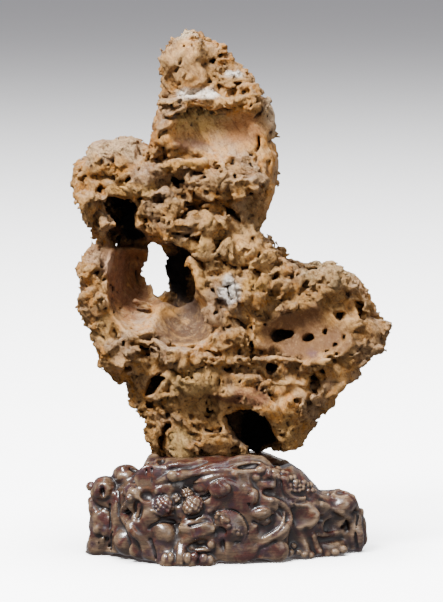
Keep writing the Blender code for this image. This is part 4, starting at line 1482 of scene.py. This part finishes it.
    def build(self, rock: Rock) -> bpy.types.Object:
        """Models the stand.

        Args:
            rock: The finished rock, which it is cut to.

        Returns:
            The stand's mesh object.
        """
        self.clay = Clay(self.low, self.high, self.cell)
        self.clay.set_warp(((16, 0.7, 71),))
        self.body()
        self.knots()
        self.back()
        self.right()
        self.left()
        self.roots()
        self.paws()
        self.loop()
        self.fungus()
        self.carve_surface()
        self.fit(rock)
        return self.clay.skin("hardwood_stand", self.triangles)


# ---------------------------------------------------------------- colour and surface


def linear(colour: str, alpha: float = 1.0) -> tuple[float, float, float, float]:
    """A hex sRGB colour as the linear values that a shader takes.

    Args:
        colour: Six hex digits, with or without a #.
        alpha: The fourth value.

    Returns:
        Red, green, blue and alpha.
    """
    digits = colour.lstrip("#")
    values = (int(digits[i : i + 2], 16) / 255 for i in (0, 2, 4))
    return (*(v / 12.92 if v <= 0.04045 else ((v + 0.055) / 1.055) ** 2.4 for v in values), alpha)


def add_node(tree: bpy.types.NodeTree, kind: str, feeds: dict | None = None, **settings) -> bpy.types.Node:
    """Adds a node with its settings, values and links.

    Args:
        tree: The material's or the world's node tree.
        kind: The node's type, without the leading ShaderNode.
        feeds: What goes into each input: a socket to link, or a plain value.
        **settings: The node's own properties.

    Returns:
        The node.
    """
    node = tree.nodes.new("ShaderNode" + kind)
    for name, value in settings.items():
        setattr(node, name, value)
    for name, value in (feeds or {}).items():
        if isinstance(value, bpy.types.NodeSocket):
            tree.links.new(value, node.inputs[name])
        else:
            node.inputs[name].default_value = value
    return node


class Graph:
    """A material's nodes, added through a few short methods; sizes are in millimetres."""

    def __init__(self, name: str) -> None:
        """Starts an empty material.

        Args:
            name: The material's name.
        """
        self.material = bpy.data.materials.new(name)
        self.material.use_nodes = True
        self.tree = self.material.node_tree
        self.tree.nodes.clear()
        self.place = add_node(self.tree, "TexCoord").outputs["Object"]

    def stretched(self, longer: Triple, lean: float = 0) -> bpy.types.NodeSocket:
        """Object coordinates in which a pattern is this many times longer along each axis.

        Args:
            longer: How many times longer.
            lean: Degrees by which the axes are turned, as seen from the front.

        Returns:
            The coordinates.
        """
        turned = add_node(self.tree, "VectorRotate", {"Vector": self.place, "Angle": math.radians(lean)},
                          rotation_type="Y_AXIS")
        scale = tuple(1 / n for n in longer)
        return add_node(self.tree, "Mapping", {"Vector": turned.outputs[0], "Scale": scale}).outputs[0]

    def noise(self, size: float, detail: float = 3, rough: float = 0.55, twist: float = 0,
              place: bpy.types.NodeSocket | None = None, shift: float = 0) -> bpy.types.NodeSocket:
        """Cloudy noise.

        Args:
            size: The size of its clouds.
            detail: How many finer layers it has.
            rough: How strong the finer layers are.
            twist: How far it is distorted.
            place: The coordinates, if not the object's own.
            shift: The slice of the noise, so that two noises differ.

        Returns:
            Its value socket.
        """
        feeds = {"Vector": place or self.place, "Scale": 1 / (size * MM), "Detail": detail,
                 "Roughness": rough, "Distortion": twist, "W": shift}
        return add_node(self.tree, "TexNoise", feeds, noise_dimensions="4D").outputs["Fac"]

    def cells(self, size: float, place: bpy.types.NodeSocket, rough: float) -> bpy.types.NodeSocket:
        """Cellular noise: the distance to the middle of the nearest cell.

        Args:
            size: The size of a cell.
            place: The coordinates.
            rough: How strong its finer layers are.

        Returns:
            The distance's socket.
        """
        feeds = {"Vector": place, "Scale": 1 / (size * MM), "Detail": 2, "Roughness": rough}
        return add_node(self.tree, "TexVoronoi", feeds, feature="F1").outputs["Distance"]

    def attribute(self, name: str, output: str = "Fac") -> bpy.types.NodeSocket:
        """A value that the mesh carries at each vertex."""
        return add_node(self.tree, "Attribute", attribute_name=name).outputs[output]

    def step(self, value: bpy.types.NodeSocket, low: float, high: float,
             most: float = 1) -> bpy.types.NodeSocket:
        """A value eased from 0 at low to most at high.

        Args:
            value: The socket that is read.
            low: Where it starts.
            high: Where it ends.
            most: What it ends at.

        Returns:
            The eased socket.
        """
        feeds = {"Value": value, "From Min": low, "From Max": high, "To Min": 0.0, "To Max": most}
        return add_node(self.tree, "MapRange", feeds, interpolation_type="SMOOTHSTEP").outputs[0]

    def maths(self, operation: str, *values: bpy.types.NodeSocket | float) -> bpy.types.NodeSocket:
        """One arithmetic step on sockets or numbers."""
        return add_node(self.tree, "Math", dict(enumerate(values)), operation=operation).outputs[0]

    def mix(self, share: bpy.types.NodeSocket | float, under: bpy.types.NodeSocket | str,
            over: bpy.types.NodeSocket | str) -> bpy.types.NodeSocket:
        """Lays one colour over another.

        Args:
            share: How much of the upper colour shows.
            under: The lower colour, as a socket or hex.
            over: The upper colour, as a socket or hex.

        Returns:
            The mixed colour's socket.
        """
        under, over = (linear(c) if isinstance(c, str) else c for c in (under, over))
        node = add_node(self.tree, "Mix", {"Factor": share}, data_type="RGBA", blend_type="MIX")
        for index, colour in ((6, under), (7, over)):
            if isinstance(colour, bpy.types.NodeSocket):
                self.tree.links.new(colour, node.inputs[index])
            else:
                node.inputs[index].default_value = colour
        return node.outputs[2]

    def bump(self, height: bpy.types.NodeSocket, depth: float,
             under: bpy.types.NodeSocket | None = None) -> bpy.types.NodeSocket:
        """Fine relief too small to model.

        Args:
            height: The relief, from 0 to 1.
            depth: The depth that 1 stands for.
            under: The bump that this one adds to.

        Returns:
            The normal socket.
        """
        feeds = {"Height": height, "Distance": depth * MM, "Strength": 1.0}
        if under is not None:
            feeds["Normal"] = under
        return add_node(self.tree, "Bump", feeds).outputs[0]

    def finish(self, **feeds) -> bpy.types.Material:
        """Adds the surface shader.

        Args:
            **feeds: What goes into each of its inputs, with _ for the spaces of a name.

        Returns:
            The finished material.
        """
        named = {name.replace("_", " "): value for name, value in feeds.items()}
        shader = add_node(self.tree, "BsdfPrincipled", named)
        add_node(self.tree, "OutputMaterial", {"Surface": shader.outputs[0]})
        return self.material


@dataclass(frozen=True)
class StainAndPaintedLight:
    """A patch of another colour on the stone, which is a stain, painted shade or a painted highlight: an
    ellipsoid with a ragged edge.
    """

    at: Triple
    size: Triple
    colour: str
    share: float = 0.7


# Iron, clay and lime colour the stone in patches. The near-black patches inside the caves and holes and the
# darkened cave floor are painted shade, and the white patches on the ledge top and the peak are painted
# highlights.
STAINS_AND_PAINTED_LIGHT = (
    StainAndPaintedLight((-12, -28, 374), (26, 26, 24), "8A683A", 0.6),
    StainAndPaintedLight((6, -40, 234), (30, 24, 22), "D2A566", 0.55),
    StainAndPaintedLight((-26, -44, 266), (34, 16, 12), "C4965A", 0.5),
    StainAndPaintedLight((-20, -44, 124), (34, 22, 16), "C4975A", 0.5),
    StainAndPaintedLight((78, -36, 182), (46, 26, 28), "99733F", 0.5),
    StainAndPaintedLight((-70, -10, 216), (24, 40, 40), "754A30", 0.85),
    StainAndPaintedLight((-78, -20, 210), (14, 30, 34), "8E5E42", 0.7),
    # Painted shade: near-black inside the upper cave, the pocket beside the window and the lower cave,
    # where shade falls.
    StainAndPaintedLight((-78, 6, 260), (19, 36, 24), "0A0604", 1),
    StainAndPaintedLight((-35, 6, 216), (18, 38, 30), "0A0604", 1),
    StainAndPaintedLight((21, -1, 90), (24, 30, 30), "0A0604", 1),
    # Painted shade: dark inside the small hole low on the left.
    StainAndPaintedLight((-50, -12, 134), (14, 22, 11), "1C110B", 0.8),
    StainAndPaintedLight((-31, -10, 398), (11, 20, 5), "D8C8A8", 0.7),
    StainAndPaintedLight((-19, -15, 396), (6, 9, 6), "6A6258", 0.8),
    StainAndPaintedLight((-36, -28, 378), (13, 24, 17), "9A7648", 0.85),
    # Painted highlights: the white top of the ledge and a white glint on the peak, where the light catches.
    StainAndPaintedLight((-23, -30, 353), (19, 18, 4.4), "E9DFD0", 0.93),
    StainAndPaintedLight((5, -26, 369), (8, 12, 4), "F0EBE0", 0.9),
    StainAndPaintedLight((4, -28, 378), (5, 8, 4), "B98432", 0.7),
    StainAndPaintedLight((-20, -30, 332), (20, 20, 10), "A98A4C", 0.85),
    StainAndPaintedLight((14, -30, 326), (18, 20, 11), "A06C40", 0.85),
    StainAndPaintedLight((-26, -34, 316), (15, 20, 6), "6B4A3E", 0.75),
    StainAndPaintedLight((16, -34, 312), (12, 18, 5), "B07C3C", 0.6),
    StainAndPaintedLight((-57, -20, 322), (6, 24, 12), "A5682C", 0.75),
    StainAndPaintedLight((-30, -42, 301), (18, 12, 5), "C08A3C", 0.8),
    StainAndPaintedLight((-4, -40, 290), (26, 14, 9), "A98A66", 0.5),
    StainAndPaintedLight((-78, -38, 284), (14, 14, 6), "C9964A", 0.7),
    StainAndPaintedLight((-57, -40, 281), (9, 14, 8), "C79A52", 0.7),
    StainAndPaintedLight((-22, -42, 240), (13, 12, 8), "C0924C", 0.9),
    StainAndPaintedLight((-18, -42, 212), (6, 10, 13), "B98A48", 0.75),
    StainAndPaintedLight((2, -46, 208), (8, 10, 11), "F4EFE6", 0.93),
    StainAndPaintedLight((20, -46, 211), (9, 10, 7), "B98A3E", 0.9),
    # Painted shade: the cave floor darkened where the brow shades it.
    StainAndPaintedLight((-34, -12, 176), (25, 38, 22), "4C382A", 0.94),
    # Painted shade: near-black deep inside the cave.
    StainAndPaintedLight((-69, 2, 246), (11, 32, 14), "0A0604", 1),
    StainAndPaintedLight((-48, -16, 187), (15, 20, 4.5), "B98646", 0.8),
    StainAndPaintedLight((33, -46, 189), (4, 8, 5), "DAD2CA", 0.8),
    StainAndPaintedLight((61, -34, 170), (38, 22, 24), "664426", 0.94),
    StainAndPaintedLight((100, -30, 200), (6, 14, 10), "B57E3E", 0.6),
    StainAndPaintedLight((66, -40, 157), (5, 8, 4), "64464A", 0.8),
    StainAndPaintedLight((10, -36, 126), (26, 24, 9), "74452C", 0.93),
    StainAndPaintedLight((46, -34, 98), (5, 16, 17), "BE9050", 0.85),
    StainAndPaintedLight((-32, -30, 88), (12, 24, 13), "9E8049", 0.85),
    StainAndPaintedLight((-3, -42, 115), (3, 7, 3), "C87A2E", 0.9),
    StainAndPaintedLight((-28, -46, 138), (20, 14, 11), "C6A060", 0.65),
    StainAndPaintedLight((0, -46, 166), (9, 10, 9), "A6753C", 0.7),
    StainAndPaintedLight((76, -14, 216), (26, 34, 11), "A3926E", 0.6),
    StainAndPaintedLight((-86, -14, 312), (24, 28, 12), "BFA584", 0.75),
    StainAndPaintedLight((-97, -20, 228), (12, 20, 12), "C6A588", 0.6),
    StainAndPaintedLight((-88, -30, 178), (12, 20, 14), "C09A5E", 0.5),
    StainAndPaintedLight((-60, -20, 105), (7, 22, 18), "A57A40", 0.7),
    StainAndPaintedLight((34, -14, 340), (8, 30, 24), "A39A86", 0.6),
    StainAndPaintedLight((20, -20, 262), (14, 22, 24), "9C805C", 0.5),
)


@dataclass(frozen=True)
class Limestone:
    """Karst limestone that water and roots have eaten away, rubbed and aged indoors.

    To the eye: a dry, chalky tan skin broken by ochre iron stains, paler where dust lies, paler on the
    edges from rubbing and a painted highlight, nearly black inside the pits and hollows as painted
    shade, and faintly silky on the worn scoops and ledges.
    """

    tan: str = "BC8D52"
    ochre: str = "B8792A"
    grey: str = "957B61"
    # cream: flecks and grains, and the painted highlight with rubbing on the edges
    cream: str = "D3AE7A"
    brown: str = "5F3C1E"
    # dark: painted shade in the pores and tight pits
    dark: str = "140C07"
    dust: str = "B7A99A"
    # hollow: painted shade in the closed-in hollows
    hollow: str = "160D08"

    def make(self) -> bpy.types.Material:
        """Lays patches, stains with their painted shade and highlights, grooves, dust and the edges'
        rubbing and painted highlight over each other, then the painted shade of the pits and hollows.

        Returns:
            The material.
        """
        graph = Graph("limestone")
        big = graph.noise(34, 3, 0.6, 0.6)
        patches = graph.noise(11, 4, 0.65, 1.0, shift=3)
        flecks = graph.noise(3.2, 4, 0.7, 0.4, shift=7)
        grains = graph.noise(1.5, 4, 0.75, 0.5, shift=11)
        colour = graph.mix(graph.step(patches, 0.44, 0.62), self.tan, self.ochre)
        colour = graph.mix(graph.step(big, 0.48, 0.62, 0.65), colour, self.grey)
        stain_and_painted_light = graph.attribute("stain_and_painted_light", "Color")
        strong = graph.attribute("stain_and_painted_light", "Alpha")
        edge = graph.maths("MULTIPLY", strong, graph.step(patches, 0.25, 0.5))
        # Stains, with the painted shade and painted highlights of the patch table, laid in with ragged
        # edges.
        colour = graph.mix(edge, colour, stain_and_painted_light)
        colour = graph.mix(graph.step(flecks, 0.54, 0.72, 0.28), colour, self.cream)
        grooves = graph.noise(2.6, 4, 0.7, 0.6, graph.stretched((1, 1.4, 5), 32), 15)
        colour = graph.mix(graph.step(grooves, 0.5, 0.38, 0.5), colour, self.brown)
        colour = graph.mix(graph.step(flecks, 0.47, 0.32, 0.6), colour, self.brown)
        up = add_node(graph.tree, "SeparateXYZ",
                      {0: add_node(graph.tree, "NewGeometry").outputs["Normal"]}).outputs[2]
        dust = graph.maths("MULTIPLY", graph.step(up, 0.3, 0.95), graph.step(flecks, 0.35, 0.65, 0.4))
        dust = graph.maths("MULTIPLY", dust, graph.step(strong, 0.8, 0.2))
        colour = graph.mix(dust, colour, self.dust)
        pit = graph.attribute("pit")
        # Painted highlight: cream on the convex edges, where the light catches them, with rubbing.
        rubbed_edge_and_highlight = graph.maths("MULTIPLY", graph.step(pit, 0.42, 0.28), graph.step(grains, 0.4, 0.65, 0.3))
        colour = graph.mix(rubbed_edge_and_highlight, colour, self.cream)
        holes = graph.cells(2.2, self.crooked(graph), 0.6)
        # Painted shade: the small cells darkened where the skin is porous and not worn.
        painted_pore_shade = graph.maths("MULTIPLY", graph.step(holes, 0.3, 0.1), graph.step(patches, 0.3, 0.55))
        painted_pore_shade = graph.maths("MULTIPLY", painted_pore_shade, graph.step(graph.attribute("worn"), 0.7, 0.2))
        colour = graph.mix(graph.maths("MULTIPLY", painted_pore_shade, 0.75), colour, self.dark)
        # Painted shade: near-black where the skin is closed in, near by and farther off.
        colour = graph.mix(graph.step(pit, 0.55, 0.77, 0.9), colour, self.dark)
        colour = graph.mix(graph.step(graph.attribute("hollow"), 0.64, 0.84, 0.9), colour, self.hollow)
        colour = graph.mix(graph.step(grains, 0.47, 0.34, 0.7), colour, self.brown)
        colour = graph.mix(graph.step(grains, 0.56, 0.7, 0.35), colour, self.cream)
        # Painted shade: full-strength patches, the near-black inside the caves, cover all else.
        colour = graph.mix(graph.step(strong, 0.95, 0.99), colour, stain_and_painted_light)
        keen = graph.step(graph.attribute("worn"), 0.9, 0.1)
        keen = graph.maths("ADD", 0.25, graph.maths("MULTIPLY", keen, 0.75))
        relief = graph.bump(graph.maths("MULTIPLY", grains, keen), 2.0)
        relief = graph.bump(grooves, 1.4, relief)
        relief = graph.bump(graph.maths("MULTIPLY", flecks, keen), 2.6, relief)
        relief = graph.bump(graph.maths("MULTIPLY", graph.step(holes, 0.08, 0.32), keen), 1.2, relief)
        shine = graph.step(graph.attribute("worn"), 0.2, 1.0, -0.22)
        rough = graph.maths("ADD", 0.86, shine)
        return graph.finish(Base_Color=colour, Roughness=rough, Normal=relief, Specular_IOR_Level=0.35)

    def crooked(self, graph: Graph) -> bpy.types.NodeSocket:
        """Object coordinates pushed about by noise, so that cells aren't neat.

        Args:
            graph: The material's nodes.

        Returns:
            The coordinates.
        """
        push = add_node(graph.tree, "TexNoise", {"Vector": graph.place, "Scale": 1 / (2.5 * MM)})
        push = add_node(graph.tree, "VectorMath", {0: push.outputs["Color"], "Scale": 1.6 * MM},
                        operation="SCALE")
        return add_node(graph.tree, "VectorMath", {0: graph.place, 1: push.outputs[0]}).outputs[0]


@dataclass(frozen=True)
class Hardwood:
    """Dense tropical hardwood, carved by hand, stained, waxed and handled for many years.

    To the eye: deep reddish brown, darkened to purple-black in the cuts and hollows as painted shade, worn
    to a warm tan on what stands proud with a painted highlight there too, paler towards the right, with
    a tight bright sheen and faint streaks of long grain.
    """

    # deep: grain streaks and pores, and the painted shade of the cuts and hollows
    deep: str = "140A0A"
    red: str = "43201A"
    brown: str = "54402F"
    # worn: wear and painted highlight on what stands proud
    worn: str = "8E7458"
    # the paler tan towards the right side
    paler_to_the_right: str = "9C8166"
    purple: str = "33202A"
    amber: str = "6E3A1E"

    def make(self) -> bpy.types.Material:
        """Mottles the ground, pales what stands proud as wear and painted highlight, and darkens the cuts
        and hollows as painted shade.

        Returns:
            The material.
        """
        graph = Graph("dark_hardwood")
        clouds = graph.noise(14, 3, 0.6, 0.8)
        streaks = graph.noise(1.6, 3, 0.6, 0.3, graph.stretched((9, 1.4, 1)), 5)
        pores = graph.noise(0.5, 1, 0.5, 0, graph.stretched((7, 1, 1)), 9)
        pit = graph.attribute("pit")
        colour = graph.mix(graph.step(clouds, 0.4, 0.56), self.red, self.brown)
        purple = graph.step(graph.noise(11, 2, 0.5, 0.5, shift=21), 0.52, 0.64, 0.75)
        colour = graph.mix(purple, colour, self.purple)
        amber = graph.step(graph.noise(9, 2, 0.5, 0.8, shift=31), 0.58, 0.7, 0.55)
        colour = graph.mix(amber, colour, self.amber)
        # Wear and painted highlight: what stands proud is paler, as where the light catches the peaks.
        proud = graph.maths("MULTIPLY", graph.step(pit, 0.5, 0.37), graph.step(clouds, 0.34, 0.6))
        colour = graph.mix(graph.maths("MULTIPLY", proud, 0.8), colour, self.worn)
        # Paler towards the right side, on what stands proud.
        along = add_node(graph.tree, "SeparateXYZ", {0: graph.place}).outputs[0]
        paler_to_the_right = graph.maths("MULTIPLY", graph.step(along, 5 * MM, 60 * MM, 0.6), graph.step(pit, 0.52, 0.4))
        paler_to_the_right = graph.maths("MULTIPLY", paler_to_the_right, graph.step(clouds, 0.34, 0.54))
        colour = graph.mix(paler_to_the_right, colour, self.paler_to_the_right)
        colour = graph.mix(graph.step(streaks, 0.42, 0.62, 0.4), colour, self.deep)
        # Painted shade: darker in the hollows and the cuts.
        colour = graph.mix(graph.step(graph.attribute("hollow"), 0.52, 0.68, 0.6), colour, self.deep)
        colour = graph.mix(graph.step(pit, 0.51, 0.6, 0.95), colour, self.deep)
        colour = graph.mix(graph.step(pores, 0.6, 0.72, 0.4), colour, self.deep)
        relief = graph.bump(graph.noise(3.5, 2, 0.5, shift=13), 0.35)
        relief = graph.bump(streaks, 0.12, relief)
        rough = graph.maths("ADD", 0.2, graph.step(graph.noise(6, 3, 0.6, shift=17), 0.35, 0.7, 0.2))
        rough = graph.maths("ADD", rough, graph.step(pit, 0.5, 0.62, 0.25))
        return graph.finish(Base_Color=colour, Roughness=rough, Normal=relief,
                            Specular_IOR_Level=0.6, Coat_Weight=0.35, Coat_Roughness=0.16)


def vertex_places(obj: bpy.types.Object) -> np.ndarray:
    """The places of an object's vertices.

    Args:
        obj: The mesh object.

    Returns:
        Rows of x, y and z, in millimetres.
    """
    places = np.empty(len(obj.data.vertices) * 3, np.float32)
    obj.data.vertices.foreach_get("co", places)
    return places.reshape(-1, 3) / MM


def carry(obj: bpy.types.Object, name: str, values: np.ndarray) -> None:
    """Gives the mesh a value at each vertex, or a colour if the values have four columns.

    Args:
        obj: The mesh object.
        name: The attribute's name.
        values: One number, or four, for each vertex.
    """
    if values.ndim == 1:
        layer = obj.data.attributes.new(name, "FLOAT", "POINT")
        layer.data.foreach_set("value", values.astype(np.float32))
    else:
        layer = obj.data.attributes.new(name, "FLOAT_COLOR", "POINT")
        layer.data.foreach_set("color", values.astype(np.float32).ravel())


def read_hollows(obj: bpy.types.Object, clay: Clay, tight: float, wide: float) -> None:
    """Gives each vertex how closed in it is, near by and farther off.

    Args:
        obj: The clay's skin.
        clay: The clay.
        tight: The reach of the near reading.
        wide: The reach of the far one.
    """
    places = vertex_places(obj)
    solid = np.clip(0.5 - clay.gap / (2 * clay.cell), 0, 1)
    carry(obj, "pit", clay.read(clay.blur(solid, tight), places))
    coarse = solid[::3, ::3, ::3]
    far = Clay(clay.low, clay.high, 3 * clay.cell)
    far.shape = coarse.shape
    carry(obj, "hollow", far.read(far.blur(coarse, wide), places))


def lay_stains_and_painted_light(obj: bpy.types.Object, clay: Clay) -> None:
    """Gives each vertex the colour of the patches that reach it (stains, painted shade and painted
    highlights), and how strong they are.

    Args:
        obj: The rock's skin.
        clay: The rock's clay, whose noise frays the edges.
    """
    places = vertex_places(obj)
    fray = clay.read(clay.noise(7, 61), places)
    colour = np.zeros((len(places), 4))
    for stain_and_painted_light in STAINS_AND_PAINTED_LIGHT:
        away = np.sqrt((((places - stain_and_painted_light.at) / stain_and_painted_light.size) ** 2).sum(1)) + 0.16 * fray
        share = (stain_and_painted_light.share * (1 - smoothstep(away, 0.65, 1.25)))[:, None]
        tint = np.array(linear(stain_and_painted_light.colour))
        colour[:, :3] += (tint[:3] - colour[:, :3]) * np.where(colour[:, 3:] > 0, share, share > 0)
        colour[:, 3:] += (1 - colour[:, 3:]) * share
    carry(obj, "stain_and_painted_light", colour)


# ---------------------------------------------------------------- studio


@dataclass(frozen=True)
class Lamp:
    """A soft square light that faces the object."""

    name: str
    at: Triple
    size: float
    watts: float
    colour: str = "FFFFFF"


@dataclass
class Studio:
    """A pale sweep of floor, soft lamps and a long-lens camera."""

    centre: Triple = (-0.0034, 0.0, 0.1935)
    distance: float = 2.5
    height_angle: float = 6.5
    lens: float = 195.5
    floor_radius: float = 40.0
    lamps: tuple[Lamp, ...] = (
        Lamp("key", (-0.75, -1.0, 1.75), 0.5, 130),
        Lamp("top", (0.15, 0.35, 1.9), 1.5, 40),
        Lamp("fill", (1.7, -1.9, 0.9), 1.6, 17),
    )
    sweep: Lamp = Lamp("sweep", (0.0, -0.5, 4.4), 3.0, 1270)

    def add_floor(self) -> bpy.types.Object:
        """Lays the floor, which darkens gently into the distance.

        Returns:
            The floor object.
        """
        bpy.ops.object.select_all(action="DESELECT")
        bpy.ops.mesh.primitive_circle_add(vertices=96, radius=self.floor_radius, fill_type="NGON")
        floor = bpy.context.object
        floor.name = floor.data.name = "floor"
        graph = Graph("floor")
        colour = graph.mix(graph.noise(600, 2), "F7F7F7", "F5F5F6")
        floor.data.materials.append(graph.finish(Base_Color=colour, Roughness=0.95, Specular_IOR_Level=0.0))
        floor.visible_diffuse = floor.visible_glossy = False
        floor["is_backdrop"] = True
        return floor

    def add_lamp(self, lamp: Lamp) -> bpy.types.Object:
        """Hangs a lamp.

        Args:
            lamp: The lamp.

        Returns:
            Its object.
        """
        data = bpy.data.lights.new(lamp.name, "AREA")
        data.size = lamp.size
        data.energy = lamp.watts
        data.color = linear(lamp.colour)[:3]
        obj = bpy.data.objects.new(lamp.name, data)
        obj.location = lamp.at
        way = Vector(self.centre) - obj.location
        obj.rotation_euler = way.to_track_quat("-Z", "Y").to_euler()
        bpy.context.scene.collection.objects.link(obj)
        return obj

    def add_world(self) -> None:
        """Surrounds the scene with dim grey."""
        world = bpy.data.worlds.new("studio")
        world.use_nodes = True
        world.node_tree.nodes.clear()
        ground = add_node(world.node_tree, "Background", {"Color": linear("E8E6EC"), "Strength": 0.46})
        add_node(world.node_tree, "OutputWorld", {"Surface": ground.outputs[0]})
        bpy.context.scene.world = world

    def add_camera(self) -> None:
        """Sets the camera a little above the object, in front of it."""
        data = bpy.data.cameras.new("camera")
        data.sensor_width = 36
        data.lens = self.lens
        data.clip_end = 200
        camera = bpy.data.objects.new("camera", data)
        angle = math.radians(self.height_angle)
        back = Vector((0, -math.cos(angle), math.sin(angle)))
        camera.location = Vector(self.centre) + self.distance * back
        camera.rotation_euler = (-back).to_track_quat("-Z", "Y").to_euler()
        bpy.context.scene.collection.objects.link(camera)
        bpy.context.scene.camera = camera

    def build(self) -> None:
        """Builds the studio."""
        floor = self.add_floor()
        for lamp in self.lamps:
            self.add_lamp(lamp)
        swept = bpy.data.collections.new("swept")
        swept.objects.link(floor)
        self.add_lamp(self.sweep).light_linking.receiver_collection = swept
        self.add_world()
        self.add_camera()


def plain_bounds() -> dict:
    """The model's bounds as plain lists of numbers."""
    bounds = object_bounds()
    return json.loads(json.dumps(bounds, default=lambda value: [float(n) for n in value]))


def main() -> None:
    """Builds the rock, the stand and the studio."""
    logging.basicConfig(level=logging.INFO, format="%(message)s")
    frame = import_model()
    LOG.info("frame loaded: %s", type(frame).__name__)
    sizes = {"before": plain_bounds()}
    rock = Rock()
    stone = rock.build()
    read_hollows(stone, rock.clay, 2.4, 11)
    carry(stone, "worn", rock.clay.read(rock.clay.blur(rock.clay.worn, 1.5), vertex_places(stone)))
    lay_stains_and_painted_light(stone, rock.clay)
    stone.data.materials.append(Limestone().make())
    LOG.info("rock: %d faces", len(stone.data.polygons))
    stand = Stand()
    wood = stand.build(rock)
    read_hollows(wood, stand.clay, 1.8, 8)
    wood.data.materials.append(Hardwood().make())
    LOG.info("stand: %d faces", len(wood.data.polygons))
    for piece, part, slot in ((stone, "rock", "limestone"), (wood, "stand", "dark_hardwood")):
        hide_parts(part)
        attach(piece, "root")
    Studio().build()
    sizes["after"] = plain_bounds()


if __name__ == "__main__":
    main()
